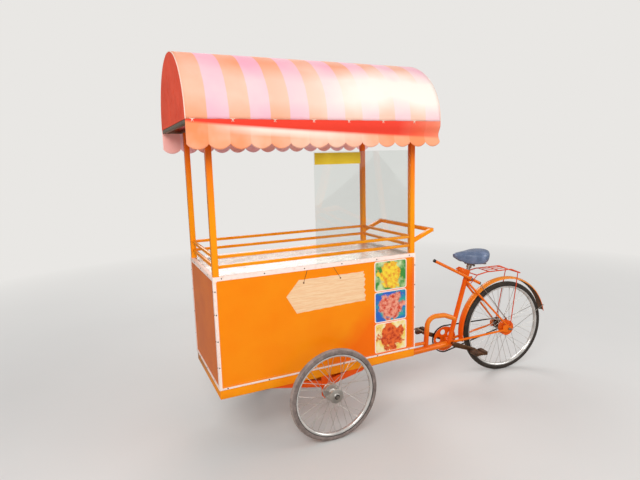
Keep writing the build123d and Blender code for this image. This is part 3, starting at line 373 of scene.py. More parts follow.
pane = Paint("clear_acrylic", Base_Color="#f6fbfa", IOR=1.49, Transmission_Weight=1.0)
pane.feed(Roughness=pane.spread(pane.noise(60, 5, 0.7), 0.45, 0.8, 0.02, 0.16))
rays = add(pane.tree, "ShaderNodeLightPath").outputs
passing = pane.calc("MAXIMUM", rays["Is Shadow Ray"], rays["Is Diffuse Ray"])
passing = pane.calc("MAXIMUM", passing, CLEAR_SHARE)
acrylic = pane.blend(passing, "ShaderNodeBsdfTransparent", Color="#fafcfb")

# %% [markdown]
# The canopy is coated cloth in stripes exactly 100 mm wide, orange and pink by turns from the
# front. A stripe is a step in the X coordinate: the distance from the front edge, divided by the
# stripe's width, is odd or even. A fine weave, two waves crossed on the cloth's own UV map in
# metres, is drawn as coarse as 2.5 mm so that it still shows. Sunlight has faded the cloth in
# patches, and a painted highlight makes the side almost white towards the rear.

# %% Canopy cloth
CANOPY_LENGTH, STRIPE, EAVE_Z = 1400 * MM, 100 * MM, 1728 * MM
THREAD = 2.5 * MM


def canopy_cloth(name, first, second, pale, fade=(0.0, 0.35), flank_highlight=0.0, band=None):
    """Striped coated cloth; flank_highlight sets a painted highlight, band a painted shade's colour.
    """
    cloth = Paint(name, IOR=1.45, Sheen_Weight=0.12, Sheen_Roughness=0.5)
    wander = cloth.spread(cloth.noise(120), 0.3, 0.7, -0.0015, 0.0015)
    distance = cloth.calc("SUBTRACT", axle_x + CANOPY_LENGTH / 2, cloth.axis("X"))
    distance = cloth.calc("ADD", distance, wander)
    turns = cloth.calc("FRACT", cloth.calc("DIVIDE", distance, 2 * STRIPE))
    stripes = cloth.mix(cloth.spread(turns, 0.495, 0.505), first, second)
    colours = cloth.mix(bleach_and_highlight(cloth, distance, fade, flank_highlight), stripes, pale)
    if band:
        colours = wedge(cloth, distance, colours, band)
    uv = add(cloth.tree, "ShaderNodeUVMap", uv_map="cloth").outputs["UV"]
    waves = {"Vector": uv, "Scale": math.pi / (20 * THREAD), "Distortion": 0.4, "Detail": 1.0}
    threads = [add(cloth.tree, "ShaderNodeTexWave", waves, bands_direction=axis) for axis in "XY"]
    weave = cloth.calc("MULTIPLY", *[thread.outputs["Fac"] for thread in threads])
    return cloth.feed(
        Base_Color=colours,
        Roughness=cloth.spread(weave, 0, 1, 0.62, 0.77),
        Normal=cloth.bump(weave, 0.15),
    )


def bleach_and_highlight(cloth, distance, fade, flank_highlight):
    """Share of pale: patches of bleach, and a painted highlight on the side, growing to the rear."""
    patches = cloth.spread(cloth.noise(260, 4), 0.4, 0.7, *fade)
    # A painted highlight on the side: it grows towards the rear and lies between the eave and the
    # ridge.
    rearward = cloth.spread(
        distance, 0.2 * CANOPY_LENGTH, 0.85 * CANOPY_LENGTH, 0.25 * flank_highlight, flank_highlight)
    wavy = cloth.spread(cloth.noise(300), 0.3, 0.7, -0.03, 0.03)
    height = cloth.calc("ADD", cloth.axis("Z"), wavy)
    below_ridge = cloth.spread(height, 1.93, 2.03, 1, 0.12)
    above_eave = cloth.spread(height, 1.74, 1.83, 0.4, 1)
    flank = cloth.calc("MULTIPLY", below_ridge, above_eave)
    return cloth.calc("ADD", patches, cloth.calc("MULTIPLY", rearward, flank), clamp=True)


# %% [markdown]
# On the flaps below the eaves, a red-orange wedge of painted shade widens from the front to the
# rear. Under it the cloth swells out, and a painted highlight, a pale patch, follows the wedge's
# lower edge.

# %% Painted shade and highlight on the flaps
def wedge(cloth, distance, colours, band):
    """Lays the painted shade of the wedge, and the painted highlight below it, over a flap's
    colours.
    """
    rear = cloth.calc("DIVIDE", distance, CANOPY_LENGTH)
    drop = cloth.spread(cloth.calc("POWER", rear, 0.75), 0, 1, 16 * MM, 95 * MM)
    below_eave = cloth.calc("SUBTRACT", EAVE_Z, cloth.axis("Z"))
    inside = cloth.calc("SUBTRACT", drop, below_eave)
    # A painted highlight just below the wedge, from about a tenth to two thirds of the way back.
    hem_highlight = cloth.spread(inside, -34 * MM, -8 * MM, 0, 0.85)
    for near, far, near_share, far_share in ((0.08, 0.25, 0, 1), (0.4, 0.68, 1, 0)):
        hem_highlight = cloth.calc("MULTIPLY", hem_highlight, cloth.spread(rear, near, far, near_share, far_share))
    colours = cloth.mix(hem_highlight, colours, "#fff3e4")
    # The wedge is a painted shade in the band's colour, a little fainter over the last fifth.
    fading = cloth.spread(rear, 0.8, 1.0, 1, 0.45)
    red = cloth.calc("MULTIPLY", cloth.spread(inside, 0, 14 * MM), fading)
    return cloth.mix(red, colours, band)


cover_cloth = canopy_cloth(
    "coated_canopy_cloth", "#fc9a6a", "#fdaabf", "#fff3e6", fade=(0.0, 0.2), flank_highlight=1.0)
cover_lining = canopy_cloth("canopy_cloth_underside", "#f59a6c", "#f3a2ae", "#ffc9b0")
# The flaps' stronger pale patches are partly bleach and partly painted highlight, and their band is
# the colour of the painted shade.
valance_cloth = canopy_cloth(
    "valance_cloth", "#ff945e", "#ffa67a", "#ffe9d8", fade=(0.0, 0.5), band="#f4381c")
valance_lining = canopy_cloth("valance_cloth_inside", "#ffb8ae", "#ffc8cd", "#ffdcd8")

# %% [markdown]
# The saddle has a glossy blue-grey moulded cover, scuffed dull where a rider sits. One noise gives
# the scuffs, which are paler and rougher, and a much finer one gives the grain of the moulding.

# %% Saddle cover
skin = Paint("moulded_saddle_cover", IOR=1.5, Coat_Weight=0.3, Coat_Roughness=0.15)
scuff = skin.spread(skin.noise(45, 4), 0.4, 0.72)
saddle_skin = skin.feed(
    Base_Color=skin.mix(scuff, "#60708c", "#7c8aa8"),
    Roughness=skin.spread(scuff, 0, 1, 0.25, 0.5),
    Normal=skin.bump(skin.noise(1.2), 0.08),
)

# %% [markdown]
# Blender's operators work on what is selected, so these functions choose one piece, and a modifier
# is added with its settings and, where it should be part of the mesh, applied.

# %% Choose a piece
def mode(name):
    bpy.ops.object.mode_set(mode=name)


def deselect():
    if bpy.context.object and bpy.context.object.mode != "OBJECT":
        mode("OBJECT")
    bpy.ops.object.select_all(action="DESELECT")


def only(piece):
    """Makes a piece the only one selected, and the active one."""
    deselect()
    piece.select_set(True)
    bpy.context.view_layer.objects.active = piece


def modify(piece, name, kind, apply=True, **settings):
    """Adds a modifier with its settings, and makes it part of the mesh."""
    modifier = piece.modifiers.new(name, kind)
    for key, value in settings.items():
        setattr(modifier, key, value)
    if apply:
        only(piece)
        bpy.ops.object.modifier_apply(modifier=name)


# %% [markdown]
# CAD nodes whose shape is right stay as they are and only get a finish. Their faces are loose
# triangles, so a Weld modifier joins them and a Bevel rounds the sharp edges by about a
# millimetre, as rolled tube and folded sheet have, which catches thin highlights.

# %% Dress the CAD nodes
FINISHES = {
    golden_enamel: (
        "bottom_frame", "top_frame", "guard_rails", "push_handle", "canopy_hoops", "axle_beam"),
    carrier_enamel: ("wheel_carriers",),
    box_film: ("left_panel", "right_panel"),
    end_gloss: ("front_panel", "rear_panel"),
    door_lacquer: ("front_door", "rear_door"),
    lapped_lacquer: ("edge_trim",),
    strip_lacquer: ("door_tracks",),
    counter_steel: ("counter", "floor_panel"),
    dull_steel: ("roof_frame",),
    acrylic: ("menu_pane",),
    end_enamel: ("canopy_front_end", "canopy_rear_end"),
    cycle_enamel_painted_shade: ("seat_tube", "lever_bracket", "chainring", "brake_plate"),
    boom_enamel: ("main_frame",),
    post_enamel: ("corner_posts",),
    zinc: ("stub_axles", "rear_axle", "seat_post"),
    dark_steel: ("sprocket",),
    worn_steel: ("crankset",),
}
ROUNDED = {
    "bottom_frame": 2.0, "corner_posts": 1.5, "guard_rails": 1.2, "push_handle": 2.0,
    "top_frame": 1.0, "wheel_carriers": 1.5, "axle_beam": 1.5, "edge_trim": 0.5,
    "roof_frame": 1.0, "crankset": 2.0, "seat_tube": 1.0, "main_frame": 1.0, "chainring": 0.4,
    "menu_pane": 0.5,
}
for material, names in FINISHES.items():
    for name in names:
        nodes[name].data.materials.clear()
        nodes[name].data.materials.append(material)
for name, width in ROUNDED.items():
    modify(nodes[name], "weld", "WELD", apply=False, merge_threshold=0.02 * MM)
    modify(
        nodes[name], "edge", "BEVEL", apply=False, width=width * MM, segments=2,
        limit_method="ANGLE", angle_limit=math.radians(50), harden_normals=True)
    for polygon in nodes[name].data.polygons:
        polygon.use_smooth = True
print(f"{sum(map(len, FINISHES.values()))} CAD nodes dressed, {len(ROUNDED)} with rounded edges")

# %% [markdown]
# A mesh is edited by selecting a part of it and calling an operator. After that it is cleaned:
# doubled points are merged, its faces turned outwards and its gentle edges smoothed. A matrix
# brings it to its place on the cart, which goes into its mesh.

# %% Edit, clean and place a mesh
STILL = Matrix.Identity(4)


def edit(piece, action="SELECT"):
    """Goes to edit mode with all of the piece selected, or none of it."""
    only(piece)
    mode("EDIT")
    bpy.ops.mesh.select_all(action=action)


def choose(piece, kind, test):
    """Selects a piece's vertices or edges that pass a test, and goes to edit mode."""
    edit(piece, "DESELECT")
    bpy.ops.mesh.select_mode(type={"vertices": "VERT", "edges": "EDGE"}[kind])
    mode("OBJECT")
    for item in getattr(piece.data, kind):
        item.select = bool(test(item))
    mode("EDIT")


def mend(piece, merge_mm=0.01, smooth=35):
    """Merges doubles, turns faces outwards and smooths across gentle edges."""
    edit(piece)
    bpy.ops.mesh.remove_doubles(threshold=merge_mm * MM)
    bpy.ops.mesh.normals_make_consistent(inside=False)
    mode("OBJECT")
    if smooth:
        bpy.ops.object.shade_smooth_by_angle(angle=math.radians(smooth))
    return piece


def put(piece, place=STILL):
    """Moves a piece by a matrix, and writes its place into its mesh."""
    piece.matrix_world = place @ piece.matrix_world
    only(piece)
    bpy.ops.object.transform_apply(location=True, rotation=True, scale=True)
    return piece


# %% [markdown]
# Each new piece is finished in the same way: it is told which body it rides on, which CAD solid it
# stands for and which finish it wears.

# %% Hand a piece over
def own(piece, name, material, body, replaces=()):
    """Names a finished piece, gives it its finish and hands it to its body."""
    piece.name = name
    if material is not None:
        piece.data.materials.clear()
        piece.data.materials.append(material)
    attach(piece, body)
    if replaces:
        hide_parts(*replaces)
    print(f"{name}: {len(piece.data.polygons)} faces on {body}")


# %% [markdown]
# The canopy cover is one sheet of coated cloth stretched over four hoops from eave to eave. It
# could be bent from a flat grid, but an arch is simpler to get right: a circle is stretched to the
# hoops' ellipse, its lower half is deleted and the upper half is extruded along the cart, four rows
# to a stripe. Its UV map holds metres along the cloth.

# %% Canopy cover
HALF_WIDTH, RISE = 400 * MM, 355 * MM
ROW, ARC_PARTS = 25 * MM, 72
ELLIPSE_FACTOR, MEAN_RADIUS = 1.0009, 0.378


def lay_uv(piece, to_uv):
    """Writes a UV map in metres from each corner's place."""
    layer = piece.data.uv_layers.new(name="cloth")
    for loop in piece.data.loops:
        layer.data[loop.index].uv = to_uv(piece.data.vertices[loop.vertex_index].co)


def arch_angle(co):
    return math.atan2((co.z - EAVE_Z) / RISE, co.y / HALF_WIDTH)


deselect()
bpy.ops.mesh.primitive_circle_add(
    vertices=2 * ARC_PARTS, radius=1, fill_type="NOTHING", rotation=(0, math.pi / 2, 0))
cover = bpy.context.object
centre = (-CANOPY_LENGTH / 2, 0, 0)
put(cover, Matrix.Translation(centre))
choose(cover, "vertices", lambda vertex: vertex.co.z < -0.001)
bpy.ops.mesh.delete(type="VERT")
bpy.ops.mesh.select_all(action="SELECT")
bpy.ops.transform.resize(value=(1, HALF_WIDTH, RISE), center_override=centre)
bpy.ops.transform.translate(value=(0, 0, EAVE_Z))
for row in range(round(CANOPY_LENGTH / ROW)):
    bpy.ops.mesh.extrude_edges_move(TRANSFORM_OT_translate={"value": (ROW, 0, 0)})
mode("OBJECT")
lay_uv(cover, lambda co: (co.x, arch_angle(co) * MEAN_RADIUS))

# %% [markdown]
# Between the hoops the cloth falls in by a few millimetres, and near the eaves it puckers where it
# is tied down, but not where a hoop holds it out. Solidify gives it its thickness and a paler
# underside.

# %% Fall of the cloth between hoops
HOOPS = [-687 * MM, -229 * MM, 229 * MM, 687 * MM]
TIES = [0.689, 0.505, 0.300, 0.097, -0.099, -0.304, -0.502]
TIE_REACH, HOOP_CLEARANCE = 60 * MM, 40 * MM
SIDE_FALL, PUCKER, PUCKER_WAVES, PUCKER_HEIGHT = 5 * MM, 4 * MM, 61, 0.35
CLOTH, FLAP_CLOTH = 1.2, 1.0


def hoop_slack(x):
    """0 over a hoop and 1 midway between two."""
    for first, second in zip(HOOPS, HOOPS[1:]):
        if first <= x <= second:
            return math.sin(math.pi * (x - first) / (second - first)) ** 2
    return 0.0


def nearest(x, places):
    return min(abs(x - place) for place in places)


def sheeted(piece, thickness_mm, *materials, outward=None):
    """Gives a sheet its thickness and its finishes outside and inside. Outward gives the way out
    from a face's middle; where most faces look the other way, they are turned over."""
    for material in materials:
        piece.data.materials.append(material)
    if outward and sum(outward(p.center).dot(p.normal) for p in piece.data.polygons) <= 0:
        edit(piece)
        bpy.ops.mesh.flip_normals()
        mode("OBJECT")
    modify(piece, "wall", "SOLIDIFY", thickness=thickness_mm * MM, offset=-1, material_offset=1)


for vertex in cover.data.vertices:
    x, angle = vertex.co.x, arch_angle(vertex.co)
    fall = SIDE_FALL * math.sin(2 * angle) ** 2 * hoop_slack(x)
    low = max(0.0, 1 - math.sin(angle) / PUCKER_HEIGHT)
    clear = min(1, nearest(x, HOOPS) / HOOP_CLEARANCE)
    tied = max(0.0, 1 - nearest(x, TIES) / TIE_REACH) ** 2
    fall += PUCKER * low * clear * (1 - tied) * 0.5 * (1 + math.sin(x * PUCKER_WAVES))
    vertex.co.y -= fall * math.cos(angle)
    vertex.co.z -= fall * math.sin(angle) * 0.5
mend(put(cover, cart_place), smooth=40)
sheeted(cover, CLOTH, cover_cloth, cover_lining)
own(cover, "striped_cover", None, "cart", ["canopy_cover"])

# %% [markdown]
# A scalloped flap hangs from each eave, cut from the same cloth with one lobe to each stripe. It
# could be simulated as hanging cloth, but so short a flap hardly falls at all: what the eye reads
# is its cut edge, its soft ripples and how it swings out at the bottom towards the rear. So a flat
# grid is cut to the lobes by drawing its lower rows down, and then it is waved.

# %% Scalloped flaps
DROP, LOBE, LOBE_ROUND, LOBE_FILL = 137 * MM, 26 * MM, 0.7, 0.71
FLAP_Y = 398.5 * MM
FLAP_COLUMNS, FLAP_ROWS = 224, 16
TUCK_FRONT, TUCK_REARWARD, TUCK_LOW = 3, 14, 2.5
SWING_FROM, SWING_RATE = 0.16, 1.35
SOFT, FINE, FINE_WAVES, WANDER, WANDER_WAVES = 2.2, 1.2, 47, 0.6, 9


def flap(side):
    deselect()
    bpy.ops.mesh.primitive_grid_add(x_subdivisions=FLAP_COLUMNS, y_subdivisions=FLAP_ROWS, size=1)
    piece = bpy.context.object
    for vertex in piece.data.vertices:
        x = vertex.co.x * CANOPY_LENGTH
        lobe = abs(math.sin(math.pi * (x / STRIPE))) ** LOBE_ROUND
        vertex.co = (x, -(0.5 - vertex.co.y) * (DROP - LOBE + LOBE * lobe), 0)
    lay_uv(piece, lambda co: (co.x, co.y))
    for vertex in piece.data.vertices:
        x, drop = vertex.co.x, -vertex.co.y
        down = drop / DROP
        rearward = 0.5 - x / CANOPY_LENGTH
        swing = math.sin(math.pi * max(0, min(1, (down - SWING_FROM) * SWING_RATE))) ** 2
        tuck = (TUCK_FRONT + TUCK_REARWARD * rearward) * MM * swing + TUCK_LOW * MM * down
        wander = WANDER * math.sin(x * WANDER_WAVES + side)
        soft = math.sin(x * math.tau / (2 * STRIPE) + wander)
        ripple = (SOFT * soft + FINE * math.sin(x * FINE_WAVES + 2 * side)) * MM * down
        y = FLAP_Y - tuck + ripple * min(1, down * 1.5)
        vertex.co = (x, side * min(y, FLAP_Y + 1 * MM), EAVE_Z - drop)
    mend(put(piece, cart_place), smooth=60)
    way_out = Vector((0, side, 0))
    sheeted(piece, FLAP_CLOTH, valance_cloth, valance_lining, outward=lambda middle: way_out)
    name = "left_flap" if side > 0 else "right_flap"
    own(piece, name, None, "cart", ["valance"])


for side in (1, -1):
    flap(side)

# %% [markdown]
# Bent tube and wire are drawn as a smooth path with rounded corners and given thickness. A curve
# object does this best: its bevel is the round section. It is made a mesh before it is finished,
# because the export wants meshes.

# %% A bent tube
def rounded_path(points, radius, parts):
    """Points in mm with every inner corner rounded by a radius (one value, or one per corner)."""
    path = [points[0]]
    for index in range(1, len(points) - 1):
        corner = points[index]
        bend = radius[index - 1] if isinstance(radius, list) else radius
        before, after = points[index - 1] - corner, points[index + 1] - corner
        half = before.angle(after) / 2
        if bend <= 0 or half > math.radians(89):
            path.append(corner)
            continue
        reach = min(bend / math.tan(half), before.length * 0.49, after.length * 0.49)
        bend = reach * math.tan(half)
        inward = (before.normalized() + after.normalized()).normalized()
        middle = corner + inward * (bend / math.sin(half))
        start = corner + before.normalized() * reach - middle
        end = corner + after.normalized() * reach - middle
        turn = start.rotation_difference(end)
        for part in range(parts + 1):
            path.append(middle + Matrix.Rotation(turn.angle * part / parts, 3, turn.axis) @ start)
    return path + [points[-1]]


def tube(name, points, diameter, radius=0, sides=12, parts=6, taper=1.0):
    """A round bar in mm along a path, which may taper to a share of its thickness."""
    path = rounded_path([Vector(point) for point in points], radius, parts)
    data = bpy.data.curves.new(name, "CURVE")
    data.dimensions = "3D"
    data.bevel_depth = diameter / 2 * MM
    data.bevel_resolution = max(0, sides // 2 - 2)
    data.use_fill_caps = True
    spline = data.splines.new("POLY")
    spline.points.add(len(path) - 1)
    for index, (knot, point) in enumerate(zip(spline.points, path)):
        knot.co = (*(point * MM), 1)
        knot.radius = 1 + (taper - 1) * index / (len(path) - 1)
    piece = bpy.data.objects.new(name, data)
    bpy.context.scene.collection.objects.link(piece)
    only(piece)
    bpy.ops.object.convert(target="MESH")
    return mend(bpy.context.object, smooth=50)


# %% [markdown]
# Bars that belong together are joined to one piece, and a piece that repeats is made once and
# copied by matrices.

# %% Join and copy
def joined(parts):
    """Joins several objects to one piece."""
    deselect()
    for part in parts:
        part.select_set(True)
    bpy.context.view_layer.objects.active = parts[0]
    if len(parts) > 1:
        bpy.ops.object.join()
    return parts[0]


def copies(piece, places):
    """Copies a piece by matrices, each copy with its own mesh, and drops the first."""
    result = []
    for place in places:
        twin = piece.copy()
        twin.data = piece.data.copy()
        bpy.context.scene.collection.objects.link(twin)
        result.append(put(twin, place))
    bpy.data.objects.remove(piece)
    return result


# %% [markdown]
# A pale piping closes the canopy's front and rear edges, and white ribbons tie the cover down at
# the eaves, where the cloth is drawn in. The piping is a tube along the hoop's ellipse, and one
# knotted ribbon is modelled and copied to every tie.

# %% Piping and ties
PIPING_INSET, PIPING_PARTS, PIPING_WIDE = 1.5 * MM, 48, 4.5
TIE_SHIFT = 0.02


def hoop_edge(x):
    """Points in mm along the ellipse of the cover at x, from the left eave to the right one."""
    angles = [math.pi * part / PIPING_PARTS for part in range(PIPING_PARTS + 1)]
    y, z = HALF_WIDTH - PIPING_INSET, RISE - PIPING_INSET
    return [
        (x / MM, y * math.cos(angle) / MM, (EAVE_Z + z * math.sin(angle)) / MM) for angle in angles]


piping_print = enamel("pale_piping", "#ffe2d2", "#f3c9b4", 0.5, 0.7, gloss=0.2, coat=0.0)
ends = [side * (CANOPY_LENGTH / 2 - PIPING_INSET) for side in (1, -1)]
piping = joined([tube("piping", hoop_edge(x), PIPING_WIDE, sides=8) for x in ends])
own(put(piping, cart_place), "canopy_piping", piping_print, "cart")

ribbon = joined([
    tube("band", [(-11, 0, 3), (0, 0, -1), (11, 0, 4)], 3.2, radius=3, sides=6),
    tube("knot", [(-3, 0, -1), (3, 0, -1)], 6, sides=8),
    *[tube("tail", [(0, 0, 0), (way * 5, 0.6, -11)], 2.6, sides=6) for way in (1, -1)],
])
places = []
for side, turn in ((1, 0), (-1, math.pi)):
    for x in TIES:
        spot = (x - TIE_SHIFT, side * (FLAP_Y + 1.2 * MM), EAVE_Z - 1 * MM)
        places.append(Matrix.Translation(spot) @ Matrix.Rotation(turn, 4, "Z"))
ties = put(joined(copies(ribbon, places)), cart_place)
own(ties, "cover_ties", piping_print, "cart")

# %% [markdown]
# Round parts such as tyres, rims, hubs and bolts are turned from half of their section. A circle
# supplies the points, they are set on the section, and the spin operator sweeps them round the
# axle.

# %% A turned shape
def drawn(points, fill="NOTHING"):
    """A closed outline through (x, y, z) points in mm, empty or filled with one face."""
    deselect()
    bpy.ops.mesh.primitive_circle_add(vertices=len(points), radius=1, fill_type=fill)
    piece = bpy.context.object
    for vertex, point in zip(piece.data.vertices, points):
        vertex.co = [value * MM for value in point]
    return piece


def swept(section, steps, angle=math.tau, closed=False):
    """Sweeps a section of (radius, along) points in mm about the Y axis. A closed one is a ring."""
    piece = drawn([(radius, along, 0) for radius, along in section])
    if not closed:
        ends = {0, len(section) - 1}
        choose(piece, "edges", lambda edge: set(edge.vertices) == ends)
        bpy.ops.mesh.delete(type="EDGE")
    edit(piece)
    bpy.ops.mesh.spin(steps=steps, angle=angle, center=(0, 0, 0), axis=(0, 1, 0))
    mode("OBJECT")
    return piece


def turned(section, steps, closed=True, smooth=35):
    return mend(swept(section, steps, closed=closed), smooth=smooth)


# %% [markdown]
# The tyres are grey-brown road tyres. Their section is a circle with two grooves cut beside the
# crown and three fine ribs moulded on each wall, and its inner part disappears into the rim. One
# section function serves both wheel sizes, and each band of the tyre gets the rubber that it needs.
# The rims are rolled steel channel, chrome plated: two rounded flanges hold the tyre and a well
# between them takes the spokes' nipples.

# %% Tyres and rims
TYRE_PARTS, TYRE_STEPS = 72, 96
GROOVES, RIBS, WALL_FROM = (10, 15, 35, 40), (70, 80, 90), 45
GROOVE_DEPTH, RIB_HEIGHT, WALL_INSET, CROWN_GROOVE = 1.1, 0.6, 0.4, 0.6
TYRE_WIDTH, TREAD_DEPTH, BEAD_DEPTH = 37, 6.5, 27
RIM_OUTSIDE = [
    (0, 12.2), (0.3, 13.0), (-1.6, 13.3), (-5, 12.7), (-9, 10.8), (-11.8, 7.2), (-12.8, 3.5)]
RIM_INSIDE = [(-10.4, 6), (-7, 9.8), (-2.5, 11.6)]


def tyre(radius, rubbers):
    """A tyre in mm; rubbers are the finishes of its wall, tread and bead."""
    section = []
    for part in range(TYRE_PARTS):
        degrees = 360 * part / TYRE_PARTS
        off_crown = min(degrees, 360 - degrees)
        reach = TYRE_WIDTH / 2
        reach = reach - GROOVE_DEPTH * (off_crown in GROOVES) + RIB_HEIGHT * (off_crown in RIBS)
        reach -= WALL_INSET * (off_crown > WALL_FROM) + CROWN_GROOVE * (off_crown == 0)
        angle = math.radians(degrees)
        around = radius - TYRE_WIDTH / 2 + reach * math.cos(angle)
        section.append((around, reach * math.sin(angle)))
    piece = turned(section, TYRE_STEPS, smooth=28)
    for material in rubbers:
        piece.data.materials.append(material)
    for polygon in piece.data.polygons:
        reach = math.hypot(polygon.center.x, polygon.center.z) / MM
        if reach > radius - TREAD_DEPTH:
            polygon.material_index = 1
        elif reach < radius - BEAD_DEPTH:
            polygon.material_index = 2
    return piece


def rim(flange):
    """A rim whose flanges reach the given radius in mm."""
    section = RIM_OUTSIDE + [(r, -y) for r, y in reversed(RIM_OUTSIDE)]
    section += [(r, -y) for r, y in reversed(RIM_INSIDE)] + RIM_INSIDE
    return turned([(flange + r, y) for r, y in section], TYRE_STEPS, smooth=50)


print(f"tyres {TYRE_WIDTH} mm wide, rims {2 * max(y for r, y in RIM_OUTSIDE)} mm")


# %% [markdown]
# Thirty-six spokes run from the hub's two flanges, each crossing three others: half lead and half
# trail, so that the wheel can carry torque. Four spokes are made, one for each side and way, each
# with its elbow at the flange and its nipple at the rim, and every fourth place gets a copy.

# %% Spokes
SPOKE_COUNT, SPOKE_WIRE, RIM_Y = 36, 2.5, 2.5
NIPPLE, NIPPLE_WIDE, NIPPLE_SEAT = 13, 3.8, 12.5
ELBOW_WIDE, ELBOW_OUT, ELBOW_IN, FLANGE_FACE = 4.4, 1.6, 3.4, 1.8
CROSSING = math.radians(60)


def spoke(hub_radius, hub_y, rim_radius, rim_y, way):
    """One spoke in mm at rim angle 0, leading or trailing."""
    around = hub_radius * math.cos(CROSSING), -way * hub_radius * math.sin(CROSSING)
    foot = Vector((around[0], hub_y + way * FLANGE_FACE, around[1]))
    head = Vector((rim_radius, rim_y, 0))
    back = (head - foot).normalized() * NIPPLE
    elbow = [foot + Vector((0, way * ELBOW_OUT, 0)), foot - Vector((0, way * ELBOW_IN, 0))]
    return joined([
        tube("wire", [foot, head], SPOKE_WIRE, sides=6),
        tube("nipple", [head - back, head], NIPPLE_WIDE, sides=6),
        tube("elbow", elbow, ELBOW_WIDE, sides=6),
    ])


def spoke_set(left_foot, right_foot, rim_radius):
    """All spokes of a wheel; a foot is its flange's hole radius and place along the axle, in mm."""
    everything = []
    for index, (foot, rim_y) in enumerate(((left_foot, RIM_Y), (right_foot, -RIM_Y))):
        for way, shift in ((1, 0), (-1, 2)):
            one = spoke(*foot, rim_radius, rim_y, way)
            steps = range(index + shift, SPOKE_COUNT + index, 4)
            turns = [math.tau * step / SPOKE_COUNT for step in steps]
            everything += copies(one, [Matrix.Rotation(-turn, 4, "Y") for turn in turns])
    print(f"{len(everything)} spokes")
    return joined(everything)


# %% [markdown]
# Hubs are turned from aluminium, so their section is all that is needed: bearing ends, a slim
# barrel and two flanges. The front ones carry a brake drum on the inside and a dark seal on the
# outside. The rear one carries an orange drum on the left and the sprocket's seat on the right.

# %% Hubs
FRONT_HUB = [
    (6.6, 29), (9.5, 29), (10, 31.6), (15, 32), (16.2, 31), (16.4, 26), (18, 24.2), (38.6, 23.8),
    (40, 23), (40, 19), (38.6, 18.2), (19, 17.4), (15.5, 12), (14, 4), (14, -18), (16, -27),
    (22, -31.5), (41, -32.4), (45.2, -33.4), (46, -35), (46, -39), (44.6, -40.5), (44.6, -56),
    (46, -57.5), (46, -60.5), (44.5, -62), (20, -62), (17, -63.5), (17, -66), (6.6, -66),
]
REAR_HUB = [
    (5.2, 47), (17, 47), (18, 46.4), (51, 46.4), (53.6, 45), (54, 43), (54, 38), (52.8, 37),
    (52.8, 29), (54, 28), (54, 22), (53, 20.2), (50, 19.6), (22, 18.6), (16, 12), (14, 4),
    (14, -26), (16.5, -33.5), (31.6, -35.6), (33, -36.4), (33, -40), (31.6, -40.8), (16, -42),
    (14, -44), (14, -57.5), (5.2, -57.5),
]


for hub in (FRONT_HUB, REAR_HUB):
    print(f"hub {hub[0][1] - hub[-1][1]} mm long, {2 * max(r for r, y in hub)} mm across")


def second_finish(shell, axle, material, test):
    """Finishes the faces of a hub whose reach and place along the axle, in mm, pass a test."""
    shell.data.materials.append(material)
    inverse = axle.inverted()
    for polygon in shell.data.polygons:
        local = inverse @ polygon.center / MM
        if test(math.hypot(local.x, local.z), local.y):
            polygon.material_index = 1


# %% [markdown]
# Each wheel is put together at the origin and then set on its axle. The right front wheel is the
# left one turned round, so that its drum also faces the box.

# %% Three wheels
def wheel(name, place, radius, flange, hub_section, feet, rubbers, metal_finish):
    """Tyre, rim, spokes and hub of one wheel, all riding on its body."""
    for piece, ending, material, node, slot in (
        (tyre(radius, rubbers), "tyre_casing", None, "tyre", "tyre_rubber"),
        (rim(flange), "rim_channel", chrome, "rim", "chrome_rim"),
        (spoke_set(*feet, flange - NIPPLE_SEAT), "spokes", spoke_steel, "hub", "hub_alloy"),
        (turned(hub_section, 64, smooth=32), "hub_shell", metal_finish, "hub", "hub_alloy"),
    ):
        put(piece, place)
        own(piece, f"{name}_{ending}", material, f"{name}_wheel", [f"{name}_{node}"])
    return piece


REAR_AXLE = Vector((-1424, 0, 325))
# radii of the tyre and of the rim's flange, and each flange of the hub: radius, place on the axle
FRONT_WHEEL = (262.5, 231, FRONT_HUB, ((36, 21), (41, -35)))
REAR_WHEEL = (325, 293, REAR_HUB, ((49, 17), (28, -38.5)))
SEAL_INNER, SEAL_OUTER, SEAL_FROM = 9.5, 15, 31.4
DRUM_REACH, DRUM_FROM = 47, 18

rear_place = cycle_place @ Matrix.Translation(REAR_AXLE * MM)
for name, side, turn in (("front_left", 1, 0), ("front_right", -1, math.pi)):
    axle = cart_place @ Matrix.Translation((0, side * TRACK / 2, WHEEL_Z))
    axle = axle @ Matrix.Rotation(turn, 4, "Z")
    rubbers = tyre_wall, tyre_tread, bead_rubber
    shell = wheel(name, axle, *FRONT_WHEEL, rubbers, hub_aluminium)
    second_finish(
        shell, axle, bead_rubber,
        lambda reach, along: along > SEAL_FROM and SEAL_INNER < reach < SEAL_OUTER)
rubbers = newer_wall, newer_tread, bead_rubber
shell = wheel("rear", rear_place, *REAR_WHEEL, rubbers, worn_steel)
second_finish(
    shell, rear_place, cycle_enamel_painted_shade,
    lambda reach, along: reach > DRUM_REACH and along > DRUM_FROM)

# %% [markdown]
# The cycle half is steel tube, brazed and sprayed. Its arch, a thick tube bent twice between the
# main tube and the seat tube, is drawn along its bends as one smooth bar.

# %% Arch
BRACKET = Vector((-981, 0, 273))
SEAT_TUBE_SLOPE = math.tan(math.radians(73.9))


def seat_tube_x(z):
    return BRACKET.x - (z - BRACKET.z) / SEAT_TUBE_SLOPE


def cycle_piece(parts, name, material, node, smooth=40):
    """Joins bars of the cycle half, sets them in place and hands them over."""
    piece = mend(put(joined(parts), cycle_place), smooth=smooth)
    own(piece, name, material, "cycle_half", [node])


